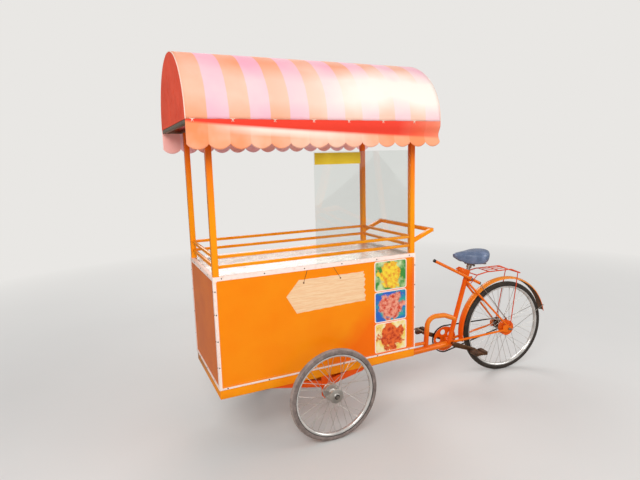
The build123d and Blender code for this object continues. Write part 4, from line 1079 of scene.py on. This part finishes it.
bends = [(-797, 0, 244.93), (-811, 0, 469), (-942, 0, 465), (seat_tube_x(430), 0, 430)]
arch = tube("arch", bends, 33, [95, 80], sides=24, parts=12)
cycle_piece([arch], "bent_arch", arch_enamel, "arch_brace", smooth=50)

# %% [markdown]
# The chain lies on a belt line: two straight runs and two arcs, round the chainring and the
# sprocket. Even places on it, one pitch apart, are where its links go.

# %% Chain line
CHAIN_Y, PITCH = -54, 12.7
RING_R, COG_R = 95.0, 42.0


def facing(angle):
    return Vector((math.cos(angle), math.sin(angle)))


def belt():
    """Even places round the two wheels, one pitch apart."""
    start, end = BRACKET.xz, REAR_AXLE.xz
    span = end - start
    base = math.atan2(span.y, span.x)
    lean = math.asin((RING_R - COG_R) / span.length)
    run = math.sqrt(span.length ** 2 - (RING_R - COG_R) ** 2)
    upper, lower = base + math.pi / 2 - lean, base - math.pi / 2 + lean
    cog_arc = COG_R * (math.pi - 2 * lean)
    total = 2 * run + cog_arc + RING_R * (math.pi + 2 * lean)
    count = 2 * round(total / PITCH / 2)
    places = []
    for index in range(count):
        s = total * index / count
        if s < run:
            place = start + RING_R * facing(upper) + s * facing(base - lean)
        elif s < run + cog_arc:
            place = end + COG_R * facing(upper - (s - run) / COG_R)
        elif s < 2 * run + cog_arc:
            place = end + COG_R * facing(lower) - (s - run - cog_arc) * facing(base + lean)
        else:
            place = start + RING_R * facing(lower - (s - 2 * run - cog_arc) / RING_R)
        places.append(place)
    return places


stations = belt()
print(f"{len(stations)} links")

# %% [markdown]
# The chain's plates are stamped to a waist between the rollers. Two plates and a roller make a
# link, wide and narrow by turns, and the links are copied along the line, each copy turned to its
# run. With over a hundred links, each has few faces.

# %% Chain links
PLATE_R, PLATE, PLATE_PLACES = 3.9, 0.9, (2.1, 3.0)
ROLLER_R, ROLLER = 3.6, 5.6


def disc(radius, depth, along=0):
    """A ten-sided disc across the Y axis, in mm."""
    deselect()
    bpy.ops.mesh.primitive_cylinder_add(
        vertices=10, radius=radius * MM, depth=depth * MM, rotation=(math.pi / 2, 0, 0),
        location=(0, along * MM, 0))
    return put(bpy.context.object)


def link(plate_y):
    """Two plates of a link at the origin, along X, with a roller at its start."""
    plates = []
    for side in (1, -1):
        plate = disc(PLATE_R, PLATE, side * plate_y)
        choose(plate, "vertices", lambda vertex: vertex.co.x > 0.5 * MM)
        bpy.ops.transform.translate(value=(PITCH * MM, 0, 0))
        mode("OBJECT")
        plates.append(plate)
    return joined(plates + [disc(ROLLER_R, ROLLER)])


links = []
for first, plate_y in enumerate(PLATE_PLACES):
    places = []
    for index in range(first, len(stations), 2):
        x, z = stations[index]
        way = stations[(index + 1) % len(stations)] - stations[index]
        turn = Matrix.Rotation(-math.atan2(way.y, way.x), 4, "Y")
        places.append(cycle_place @ Matrix.Translation(Vector((x, CHAIN_Y, z)) * MM) @ turn)
    links += copies(link(plate_y), places)
chain = mend(joined(links), merge_mm=0.001)
own(chain, "roller_links", dark_steel, "cycle_half", ["chain"])

# %% [markdown]
# The mudguard is thin sheet rolled to the wheel, crowned in the middle and turned in at its edges.
# Its section is swept round the rear axle over part of a turn, given a thickness, and painted
# orange outside. The underside has a second finish, a dark brown.

# %% Mudguard
GUARD_R, GUARD_HALF, GUARD_LIP, GUARD_CROWN, GUARD_BEND = 362, 27, 14, 9, 11.5
CROWN_ROUND, EDGE_IN, LIP_IN, GUARD_SHEET = 2.2, 1.6, 0.2, 1.2
GUARD_ARC, GUARD_START = math.radians(-178), math.radians(-168)

dark_underside = rubber("dark_brown_underside", "#5b3a25", "#7c6450", 0.1, 0.9, 0.8)
section = [(GUARD_R - GUARD_LIP, GUARD_HALF), (GUARD_R - GUARD_BEND, GUARD_HALF - LIP_IN)]
for part in range(9):
    share = 1 - part / 4
    height = GUARD_R - GUARD_CROWN * abs(share) ** CROWN_ROUND
    section.append((height, (GUARD_HALF - EDGE_IN) * share))
section += [(radius, -along) for radius, along in reversed(section[:2])]
guard = swept(section, 72, GUARD_ARC)
mend(put(guard, rear_place @ Matrix.Rotation(GUARD_START, 4, "Y")), smooth=50)
hub_point = rear_place.translation
sheeted(
    guard, GUARD_SHEET, guard_enamel, dark_underside, outward=lambda middle: middle - hub_point)
own(guard, "rolled_mudguard", None, "cycle_half", ["fender"])

# %% [markdown]
# The stays are round tubes that taper to flattened ends, held by two steel plates at the axle. A
# plate starts as a thin box whose upright corners are bevelled to the rounded outline of a stamped
# dropout. A bar between the seat stays carries the mudguard.

# %% Stays
BRIDGE_SHARE = 0.44


def stamped(size, place, corner, segments):
    """A plate across the Y axis in mm, with rounded corners."""
    deselect()
    bpy.ops.mesh.primitive_cube_add(
        size=1, location=Vector(place) * MM, scale=Vector(size) * MM)
    piece = put(bpy.context.object)
    y = [vertex.co.y for vertex in piece.data.vertices]
    choose(piece, "edges", lambda edge: abs(y[edge.vertices[0]] - y[edge.vertices[1]]) > 0.5 * MM)
    bpy.ops.mesh.bevel(offset=corner * MM, segments=segments)
    mode("OBJECT")
    return piece


stay_top, stay_bottom = Vector((seat_tube_x(690), 20, 690)), Vector((REAR_AXLE.x + 22, 70.5, 355))
stays, bridge = [], []
for side in (1, -1):
    flip = Vector((1, side, 1))
    stays.append(tube("seat_stay", [stay_top * flip, stay_bottom * flip], 16, sides=16, taper=0.75))
    start, end = Vector((-988, 24, 274)), Vector((REAR_AXLE.x + 40, 69.5, 318))
    stays.append(tube("chain_stay", [start * flip, end * flip], 18, sides=16, taper=0.72))
    plate = stamped((70, 5, 52), (REAR_AXLE.x + 14, side * 70.5, 329), 16, 6)
    modify(plate, "edge", "BEVEL", width=0.8 * MM, segments=2)
    stays.append(plate)
    bridge.append(stay_top.lerp(stay_bottom, BRIDGE_SHARE) * flip)
stays.append(tube("bridge", bridge, 11, sides=12))
cycle_piece(stays, "tapered_stays", boom_enamel, "rear_stays")

# %% [markdown]
# The carrier over the mudguard is bent from 8 mm wire: one hoop whose ends turn down a little, with
# cross bars welded under it, two thin middle wires and four struts. The rear struts end in
# flattened eyes on the axle plates.

# %% Carrier
RACK_Z, RACK_FRONT, RACK_REAR, HALF = 752, -1150, -1520, 62
FRONT_Z, REAR_Z = RACK_Z - 14, RACK_Z - 38

wire_enamel = enamel("thin_wire_enamel", "#e2502a", "#c8431f", 0.25, 0.5)
hoop = [(RACK_FRONT, HALF, FRONT_Z), (RACK_FRONT - 80, HALF, RACK_Z),
        (RACK_REAR + 90, HALF, RACK_Z), (RACK_REAR, HALF, REAR_Z)]
hoop += [(x, -y, z) for x, y, z in reversed(hoop)]
wires = [tube("hoop", hoop, 8, [60, 60, 22, 22, 60, 60])]
for x, z, wire in ((RACK_FRONT + 1, FRONT_Z, 8), (-1250, RACK_Z, 6.5), (-1330, RACK_Z, 6.5),
                   (-1410, RACK_Z, 6.5)):
    sides = 12 if wire == 8 else 10
    wires.append(tube("cross_bar", [(x, HALF, z), (x, -HALF, z)], wire, sides=sides))
for y in (-20, 20):
    middle_wire = [(x, y, RACK_Z + 2) for x in (-1248, -1412)]
    wires.append(tube("middle_wire", middle_wire, 4.5, sides=8))
for side in (1, -1):
    low, high = Vector((-1430, side * 76.8, 349)), Vector((-1490, side * HALF, 726))
    wires.append(tube("rear_strut", [low, high], 6.5, sides=10))
    centre, across = low - (low - high).normalized() * 3, Vector((0, 1.4, 0))
    wires.append(tube("eye", [centre + across, centre - across], 15, sides=16))
    front_low = (seat_tube_x(690) - 24, side * 30, 675)
    front_strut = [(RACK_FRONT - 3, side * HALF, FRONT_Z - 1), front_low]
    wires.append(tube("front_strut", front_strut, 5.5, sides=10))
cycle_piece(wires, "wire_carrier", wire_enamel, "rack")

# %% [markdown]
# Two thin plated wires hold the mudguard's tail, each with an eye at the plate and a small nut at
# the guard's edge.

# %% Mudguard wires
TAIL_REACH, TAIL_ANGLE = 353, math.radians(20)

wires = []
for side in (1, -1):
    foot = Vector((REAR_AXLE.x - 16, side * 76.6, 317))
    tail = TAIL_REACH * facing(TAIL_ANGLE)
    tip = Vector((REAR_AXLE.x - tail.x, side * 29.3, REAR_AXLE.z + tail.y))
    wires.append(tube("wire", [foot, tip], 3.6, sides=10))
    for name, end, reach, wide, sides in (("nut", tip, 2.5, 9, 6), ("eye", foot, 1.6, 12, 14)):
        across = Vector((0, reach, 0))
        wires.append(tube(name, [end - across, end + across], wide, sides=sides))
cycle_piece(wires, "guard_wires", zinc, "fender_wires", smooth=30)

# %% [markdown]
# The saddle is a moulded pad: a smooth egg from a slim nose to a broad tail, whose skirt comes
# down round the springs and is deepest under the seat. It could be sculpted, but a row of closed
# sections is easier to measure. Thirteen points of a section go over the outside, and the rest go
# back through the hollow under the seat.

# %% Saddle sections
SADDLE_SECTIONS = (
    # x, half width, top z, skirt z, depth of the hollow
    (-1003, 8, 884, 868, 1), (-1012, 18, 890, 860, 1), (-1036, 28, 894, 845, 1),
    (-1066, 40, 896, 828, 2), (-1084, 49, 897, 819, 14), (-1104, 60, 898, 814, 38),
    (-1134, 77, 900, 812, 41), (-1164, 92, 902, 812, 41), (-1190, 95, 904, 812, 41),
    (-1212, 88, 904, 814, 39), (-1234, 76, 903, 819, 30), (-1252, 60, 900, 827, 12),
    (-1266, 42, 894, 838, 2), (-1276, 18, 887, 852, 1),
)
SADDLE_WALL, SKIRT_SHARE, OUTER_PARTS = 9, 0.8, 8
SIDE_ROUND, TOP_ROUND = 0.8, 0.85


def saddle_section(x, half_width, top, skirt, hollow):
    """One closed section in mm: over the outside from left to right, and back inside."""
    widest = (skirt + top) / 2
    outline = [
        (SKIRT_SHARE * half_width, skirt), (0.94 * half_width, 0.6 * skirt + 0.4 * widest)]
    for step in range(OUTER_PARTS + 1):
        across, rise = facing(math.pi * step / OUTER_PARTS)
        y = half_width * math.copysign(abs(across) ** SIDE_ROUND, across)
        outline.append((y, widest + (top - widest) * max(0, rise) ** TOP_ROUND))
    outline += [(-y, z) for y, z in reversed(outline[:2])]
    inner = max(SKIRT_SHARE * half_width - SADDLE_WALL, 0.5 * half_width)
    roof = skirt + hollow
    inside = [(-inner, skirt + 0.04 * hollow), (-0.98 * inner, skirt + 0.5 * hollow)]
    inside += [(-share * inner, roof) for share in (0.92, 0.6, 0.3)]
    outline += inside + [(0, roof)] + [(-y, z) for y, z in reversed(inside)]
    return [(x, y, z) for y, z in outline]


print(f"saddle {SADDLE_SECTIONS[0][0] - SADDLE_SECTIONS[-1][0]} mm long")

# %% [markdown]
# The sections are joined to one object. One operator bridges each to the next, another closes the
# two ends, and subdividing gives one even surface. The pad is firm, so it needs no cloth
# simulation.

# %% Saddle
saddle = joined([drawn(saddle_section(*sizes)) for sizes in SADDLE_SECTIONS])
edit(saddle)
bpy.ops.mesh.bridge_edge_loops()
bpy.ops.mesh.select_all(action="DESELECT")
bpy.ops.mesh.select_non_manifold()
bpy.ops.mesh.edge_face_add()
mode("OBJECT")
mend(put(saddle, cycle_place), smooth=0)
bpy.ops.object.shade_smooth()
modify(saddle, "finer", "SUBSURF", levels=2, render_levels=2)
own(saddle, "moulded_saddle", saddle_skin, "cycle_half", ["saddle"])

# %% [markdown]
# Under the saddle, two coil springs carry the tail and a pair of rails run forward to its nose,
# through a clamp on the post. A coil is a curve that climbs as it turns, given the wire's
# thickness.

# %% Springs, rails and clamp
SPRING_X, SPRING_Y, COIL_R, COIL_TURNS, COIL_STEPS = -1220, 44, 10.5, 6, 16
COIL_LOW, COIL_HIGH, CLAMP_Z = 810, 853, 797

under = []
for side in (1, -1):
    coil = []
    for step in range(COIL_TURNS * COIL_STEPS + 1):
        around = COIL_R * facing(math.tau * step / COIL_STEPS)
        z = COIL_LOW + (COIL_HIGH - COIL_LOW) * step / (COIL_TURNS * COIL_STEPS)
        coil.append((SPRING_X + around.x, side * SPRING_Y + around.y, z))
    under.append(tube("coil", coil, 4.2, sides=8))
    cup = [(SPRING_X, side * SPRING_Y, z) for z in (805, 811)]
    under.append(tube("cup", cup, 28, sides=20))
    rail = [(SPRING_X, SPRING_Y, 808), (-1196, 38, 807), (-1160, 19, 806), (-1112, 17, 806),
            (-1101, 12, 815), (-1099, 8, 852)]
    under.append(tube("rail", [(x, side * y, z) for x, y, z in rail], 7, 22))
under.append(tube("clamp", [(seat_tube_x(z), 0, z) for z in (780, 810)], 35, sides=24))
bolt_x = seat_tube_x(798) - 20
for name, low, high, wide, sides in (
    ("clamp_bolt", -27, 27, 9, 10), ("clamp_nut", 21, 27, 16, 6), ("clamp_nut", -21, -27, 16, 6),
):
    under.append(tube(name, [(bolt_x, y, CLAMP_Z) for y in (low, high)], wide, sides=sides))
cycle_piece(under, "springs_and_rails", zinc, "saddle_springs")

# %% [markdown]
# Rat-trap pedals: two moulded rubber blocks with ribs, held between two steel plates, on a barrel
# that turns on the spindle. A block is its ribbed end outline, filled and pulled out to its length.

# %% Pedals
BLOCK_RIBS = [
    (20, 13), (24.6, 13), (25.4, 11.4), (27.4, 11.4), (28.2, 13), (32.6, 13), (33.4, 11.4),
    (35.4, 11.4), (36.2, 13), (43.5, 13), (46, 10.5), (46, 3), (43.5, 2.4)]
BARREL = [(5, -36), (9.6, -36), (10, -35), (10, -30), (7.8, -28)]
CAP = [(0.01, 38.6), (5.5, 38.2), (8.6, 36.6), (9, 34.5), (5, 34.5), (0.01, 34.5)]
PEDAL_HALF, PEDAL_Y = 34, 117
CRANK, CRANK_ANGLE = 172, math.radians(21)


def pulled(piece, depth_mm):
    """Pulls a filled outline out along Y."""
    edit(piece)
    bpy.ops.mesh.extrude_region_move(TRANSFORM_OT_translate={"value": (0, depth_mm * MM, 0)})
    mode("OBJECT")
    return piece


def pedal_block():
    outline = BLOCK_RIBS + [(x, -z) for x, z in reversed(BLOCK_RIBS)]
    piece = pulled(drawn([(x, -PEDAL_HALF, z) for x, z in outline], "NGON"), 2 * PEDAL_HALF)
    modify(piece, "edge", "BEVEL", width=0.6 * MM, segments=1)
    return mend(piece, smooth=30)


def pedal_steel():
    """Two side plates, the barrel with its cap and two long bolts."""
    steel = [mend(stamped((84, 2.4, 16), (0, y, 0), 5, 4), smooth=30) for y in (-35.6, 35.6)]
    steel.append(turned(BARREL + [(r, -y) for r, y in reversed(BARREL)], 32))
    steel.append(turned(CAP, 24, closed=False))
    for x in (-32, 32):
        steel.append(tube("bolt", [(x, -38.4, 0), (x, 38.4, 0)], 6, sides=8))
    return joined(steel)


crank = CRANK * facing(CRANK_ANGLE)
for side, turn, name in ((1, 0, "left"), (-1, math.pi, "right")):
    spindle = BRACKET + Vector((-side * crank.x, side * PEDAL_Y, -side * crank.y))
    place = cycle_place @ Matrix.Translation(spindle * MM) @ Matrix.Rotation(turn, 4, "Z")
    blocks = joined(copies(pedal_block(), [STILL, Matrix.Rotation(math.pi, 4, "Y")]))
    body, replaced = f"{name}_pedal", [f"pedal_{name}"]
    own(put(blocks, place), f"{body}_blocks", block_rubber, body, replaced)
    steel = put(pedal_steel(), place)
    own(steel, f"{body}_steel", worn_steel, body, replaced)

# %% [markdown]
# The brake is worked by a long hand lever beside the saddle: a painted tube with a black plug and a
# plated button in its upper end. It turns on a bolt and pulls a thin rod down to the drum's arm.
# Each bar here runs along a way from a point, between two distances.

# %% Brake lever
LEVER_TIP, LEVER_END, PIVOT_Z = Vector((-838, 28, 860)), Vector((-1200, 28, 669)), 706
ROD_START, ROD_END = Vector((-1194, 33, 673)), Vector((-1407, 61.3, 395))


def bars(rows):
    """Straight round bars: name, point, way, the two distances, thickness and sides."""
    return [
        tube(name, [point + way * first, point + way * last], wide, sides=sides)
        for name, point, way, first, last, wide, sides in rows]


lever, rod, across = LEVER_TIP - LEVER_END, ROD_END - ROD_START, Vector((0, 1, 0))
pivot = LEVER_END + lever * (PIVOT_Z - LEVER_END.z) / lever.z
lever_length, rod_length = lever.length, rod.length
lever, rod = lever.normalized(), rod.normalized()
cycle_piece(bars([
    ("bar", LEVER_END, lever, 0, lever_length, 20, 24),
    ("boss", pivot, across, -9, 11, 21, 24),
]), "lever_bar", boom_enamel, "brake_lever", smooth=35)
cycle_piece(bars([
    ("plug", LEVER_TIP, lever, -9, 2, 21.4, 24),
    ("lower_plug", LEVER_END, lever, -2, 5, 20.6, 24),
]), "lever_plugs", grip_rubber, "brake_lever", smooth=35)
cycle_piece(bars([
    ("button", LEVER_TIP, lever, 0, 8, 9, 16),
    ("rod", ROD_START, rod, 0, rod_length, 4.6, 10),
    ("clevis", ROD_END, rod, -26, 0, 9, 12),
    ("locknut", ROD_END, rod, -34, -28, 11, 6),
    ("pin", ROD_END, across, -6.5, 6, 5.5, 10),
    ("pivot_head", pivot, across, 11, 15.5, 15, 6),
    ("washer", pivot, across, 10.4, 11.6, 18, 20),
]), "lever_fittings", zinc, "brake_lever", smooth=35)

# %% [markdown]
# The near side is decorated with prints: an arrow board, three tiles and a strip on the pane.
# Each is a thin film cut to its shape, so it is made as a flat outline, filled and given 0.4 mm.

# %% Films cut to an outline
PANEL_Y, PANE_Y, FILM, FILM_GAP = 302, 297, 0.4, 0.02


def film_cut(outline, y, thick=FILM):
    """A flat film in the plane of the near side, from (x, z) points in mm."""
    piece = pulled(drawn([(x, y + FILM_GAP, z) for x, z in outline], "NGON"), thick)
    return put(mend(piece, merge_mm=0.001, smooth=0), cart_place)


def rounded(x0, x1, z0, z1, corner, parts=5):
    """Outline of a rectangle with rounded corners, in mm."""
    x0, x1, z0, z1 = x0 + corner, x1 - corner, z0 + corner, z1 - corner
    outline = []
    for x, z, start in ((x1, z1, 0), (x0, z1, 90), (x0, z0, 180), (x1, z0, 270)):
        for part in range(parts + 1):
            angle = math.radians(start + 90 * part / parts)
            outline.append(Vector((x, z)) + corner * facing(angle))
    return outline


# %% [markdown]
# A bare arrow board points forward, drawn as hanging from two strings. Its lower edge and its rear
# end are ragged like a split plank. Height divided by a plank's width gives the dark joints, and a
# noise drawn out along the board gives the grain.

# %% Arrow board
PLANK = 62

board_top = [(x, 904 - 2 * (k % 2)) for k, x in enumerate(range(146, -240, -32))]
ragged_end = [
    (-252, 905), (-246, 893), (-258, 886), (-250, 872), (-262, 858), (-253, 842), (-259, 826),
    (-248, 812), (-260, 795), (-252, 778), (-263, 762), (-256, 748), (-259, 732)]
board_bottom = [
    (x, 732 - 12 * (x + 252) / 416 + 2 * (k % 2)) for k, x in enumerate(range(-228, 165, 32))]
board = film_cut([(221, 820)] + board_top + ragged_end + board_bottom + [(164, 720)], PANEL_Y)

wood = Paint("printed_plank_film", IOR=1.5, Coat_Weight=0.15, Coat_Roughness=0.1)
grain = wood.noise(4, 3, 0.6, wood.drawn_out((0.06, 1, 1)))
planks = wood.calc("FRACT", wood.calc("DIVIDE", wood.axis("Z"), PLANK * MM))
joint = wood.spread(planks, 0, 0.05, 0.55, 0)
tone = wood.mix(wood.spread(grain, 0.42, 0.68), "#fbd3a6", "#f2bd8c")
board_print = wood.feed(
    Base_Color=wood.mix(joint, tone, "#dd9a66"), Roughness=wood.spread(grain, 0.3, 0.7, 0.18, 0.3))
own(board, "arrow_board", board_print, "cart")

string_print = rubber("dark_string_print", "#5a2c16", "#7a4020", 0, 1, 0.5)
strings = [
    film_cut([(top, 952), (top - 2.5, 952), (low - 2.5, 886), (low, 886)], PANEL_Y + 0.5)
    for top, low in ((98, 121), (-58, -100))]
strings += [film_cut(rounded(x - 5, x + 4, 880, 889, 4), PANEL_Y + 0.5) for x in (120, -101)]
own(joined(strings), "board_strings", string_print, "cart")

# %% [markdown]
# Each of the three white-bordered tiles shows a plain heap of colour: a round blotch with a ragged
# edge on a ground, yellow on green, red on blue and red on yellow from the top down. Which tile a
# point is in comes from its height, and noises make the edge and the crumbs.

# %% Print of the tiles
TILE_MIDDLE, TILE_HALF, TILE_LOW, TILE_PITCH = -431, 104, 391, 188
TILE_COLOURS = (
    # two tones of the ground, light and dark of the heap, from the lowest tile up
    ("#f4d266", "#f8e6b4", "#ee6a2c", "#b72c14"), ("#2b62c0", "#2fa79a", "#f3a286", "#cf3a24"),
    ("#3f8f3c", "#c9dca0", "#f9d93c", "#ea8a2a"),
)

tile = Paint("mottled_tile_film", IOR=1.5, Coat_Weight=0.3, Coat_Roughness=0.06)
left_x, right_x = axle_x + (TILE_MIDDLE - TILE_HALF) * MM, axle_x + (TILE_MIDDLE + TILE_HALF) * MM
across = tile.spread(tile.axis("X"), left_x, right_x, -1, 1)
rows_up = tile.calc("SUBTRACT", tile.axis("Z"), TILE_LOW * MM)
rows_up = tile.calc("DIVIDE", rows_up, TILE_PITCH * MM)
upward = tile.spread(tile.calc("FRACT", rows_up), 0, 1, -1, 1)
spot = add(tile.tree, "ShaderNodeCombineXYZ", {0: across, 1: upward}).outputs[0]
ragged = tile.spread(tile.noise(45, 4, 0.6), 0.3, 0.7, -0.35, 0.35)
heap = tile.spread(tile.calc("ADD", tile.length(spot), ragged), 0.72, 0.86, 1, 0)
crumbs = tile.spread(tile.noise(22, 5, 0.65), 0.42, 0.62)
folds = tile.spread(tile.noise(60, 3), 0.45, 0.6)
colours = None
for row, (ground, second_ground, light, dark) in enumerate(TILE_COLOURS):
    shades = tile.mix(folds, ground, second_ground), tile.mix(crumbs, light, dark)
    shown = tile.mix(heap, *shades)
    in_row = tile.spread(rows_up, row - 0.01, row + 0.01)
    colours = tile.mix(in_row, colours, shown) if row else shown
tile_print = tile.feed(
    Base_Color=colours, Roughness=tile.spread(tile.noise(20), 0.3, 0.7, 0.1, 0.2))

# %% [markdown]
# A tile is two films, a white border and a coloured face that is a little smaller and lies over
# it. A yellow strip closes the top of the pane.

# %% Tiles and header
TILE_ROWS = ((769, 951), (579, 769), (391, 579))

for name, side, inset, corner, y, material, slot in (
    ("tile_borders", 0, 2, 15, 0, strip_lacquer, "white_trim"),
    ("tile_faces", 6, 8, 11, 0.4, tile_print, "side_sheet"),
):
    films = [
        film_cut(rounded(-541 + side, -321 - side, z0 + inset, z1 - inset, corner), PANEL_Y + y)
        for z0, z1 in TILE_ROWS]
    own(joined(films), name, material, "cart")
header_film = enamel("yellow_header_film", "#e9cb3c", "#d9b52c", 0.15, 0.3, 0.02)
header = film_cut(rounded(-240, 34, 1508, 1569, 1.5, 2), PANE_Y, 0.3)
own(header, "pane_header", header_film, "cart")

# %% [markdown]
# The white strips are held by small self-tapping screws every 220 mm or so, which have rusted
# dark. One head is turned, with a slot cut across it, and copied along the strips.

# %% Screws
HEAD = [(0.01, 1.7), (1.6, 1.55), (2.9, 0.9), (3.6, 0.0), (3.6, -0.5)]
SLOT_HALF, SLOT_DEPTH = 0.3 * MM, 0.5 * MM
SCREW_TOP, SCREW_LOW_SIDE, SCREW_LOW_END = 963.5, 382, 387


def on_sides(x, z):
    """A place on each long side in mm, with the turn about Z."""
    return [((x, TRIM_Y, z), 0), ((x, -TRIM_Y, z), math.pi)]


def on_ends(y, z):
    return [((TRIM_X, y, z), -math.pi / 2), ((-TRIM_X, y, z), math.pi / 2)]


spots = []
for x in (-560, -336, -112, 112, 336, 560):
    spots += on_sides(x, SCREW_TOP) + on_sides(x, SCREW_LOW_SIDE)
for z in (500, 640, 780, 900):
    spots += on_sides(-599.5, z) + on_sides(596.5, z) + on_ends(-293.5, z) + on_ends(293.5, z)
for y in (-180, 0, 180):
    spots += on_ends(y, SCREW_TOP) + on_ends(y, SCREW_LOW_END)
places = []
for point, turn in spots:
    spun = Matrix.Rotation(dice.uniform(0, math.pi), 4, "Y")
    turn = Matrix.Rotation(turn, 4, "Z")
    places.append(cart_place @ Matrix.Translation(Vector(point) * MM) @ turn @ spun)
head = turned(HEAD, 14, closed=False, smooth=50)
choose(head, "vertices", lambda vertex: abs(vertex.co.x) < SLOT_HALF)
bpy.ops.transform.translate(value=(0, -SLOT_DEPTH, 0))
mode("OBJECT")
own(joined(copies(head, places)), "strip_screws", dark_steel, "cart")

# %% [markdown]
# The floor is a plain pale plane that keeps the object's shadow. A few metres off, where the lamps
# no longer reach, it fades to the tone of a studio's paper sweep for the camera alone. Glossy
# parts mirror a darker floor, as they would out of doors, so that a pale sheen doesn't wash out
# their colour.

# %% Floor
SWEEP_TONE, FLOOR_SIZE = "#e9e7e4", 60
FADE_FROM, FADE_TO = 2.6, 6.0

bpy.ops.mesh.primitive_plane_add(size=FLOOR_SIZE, location=(0, 0, 0))
floor = bpy.context.object
floor.name = "floor"
paper = Paint("pale_floor", Roughness=0.9)
rays = add(paper.tree, "ShaderNodeLightPath").outputs
pale = paper.mix(paper.noise(900), "#dedbd7", "#d9d6d2")
paper.feed(Base_Color=paper.mix(rays["Is Glossy Ray"], pale, "#85796d"))
far_off = paper.spread(paper.length(paper.place), FADE_FROM, FADE_TO)
looked_at = paper.calc("MULTIPLY", rays["Is Camera Ray"], far_off)
floor.data.materials.append(
    paper.blend(looked_at, "ShaderNodeEmission", Color=SWEEP_TONE, Strength=1.0))
deselect()

# %% [markdown]
# Where the camera, or a ray through the pane, looks past the floor, the world has the sweep's tone
# too, while the light that it gives stays low. Glossy parts mirror a darker sky as well.

# %% World
world = bpy.data.worlds.new("studio")
bpy.context.scene.world = world
world.use_nodes = True
tree = world.node_tree
tree.nodes.clear()
rays = add(tree, "ShaderNodeLightPath").outputs
lit, mirrored, sweep = [
    add(tree, "ShaderNodeBackground", {"Color": colour, "Strength": strength}).outputs[0]
    for colour, strength in (("#eef2f6", 0.55), ("#a8a29b", 1.0), (SWEEP_TONE, 1.0))]
sky = add(tree, "ShaderNodeMixShader", {0: rays["Is Glossy Ray"], 1: lit, 2: mirrored})
seen = {0: rays["Is Camera Ray"], 1: rays["Is Transmission Ray"]}
seen = add(tree, "ShaderNodeMath", seen, operation="MAXIMUM").outputs[0]
sky = add(tree, "ShaderNodeMixShader", {0: seen, 1: sky.outputs[0], 2: sweep})
add(tree, "ShaderNodeOutputWorld", {"Surface": sky.outputs[0]})
print(f"world {world.name}")

# %% [markdown]
# Three large area lamps give soft studio light: a key from the camera's side, a weaker fill from
# behind the cycle and one from the far side, so that no face of the cart is black.

# %% Lamps
LAMP_SIZE, LIT_POINT = (4, 3), Vector((0, 0, 0.8))

for name, place, power in (
    ("key", (3.5, 4.5, 4.5), 225), ("fill", (-4.5, 3.5, 3.0), 105),
    ("back", (-1.0, -4.5, 4.0), 120),
):
    data = bpy.data.lights.new(name, "AREA")
    data.shape = "RECTANGLE"
    data.size, data.size_y = LAMP_SIZE
    data.energy = power
    lamp = bpy.data.objects.new(name, data)
    bpy.context.scene.collection.objects.link(lamp)
    lamp.location = place
    lamp.rotation_euler = (LIT_POINT - Vector(place)).to_track_quat("-Z", "Y").to_euler()
    print(f"{name} lamp, {power} W")
bpy.context.scene.view_settings.view_transform = "Standard"
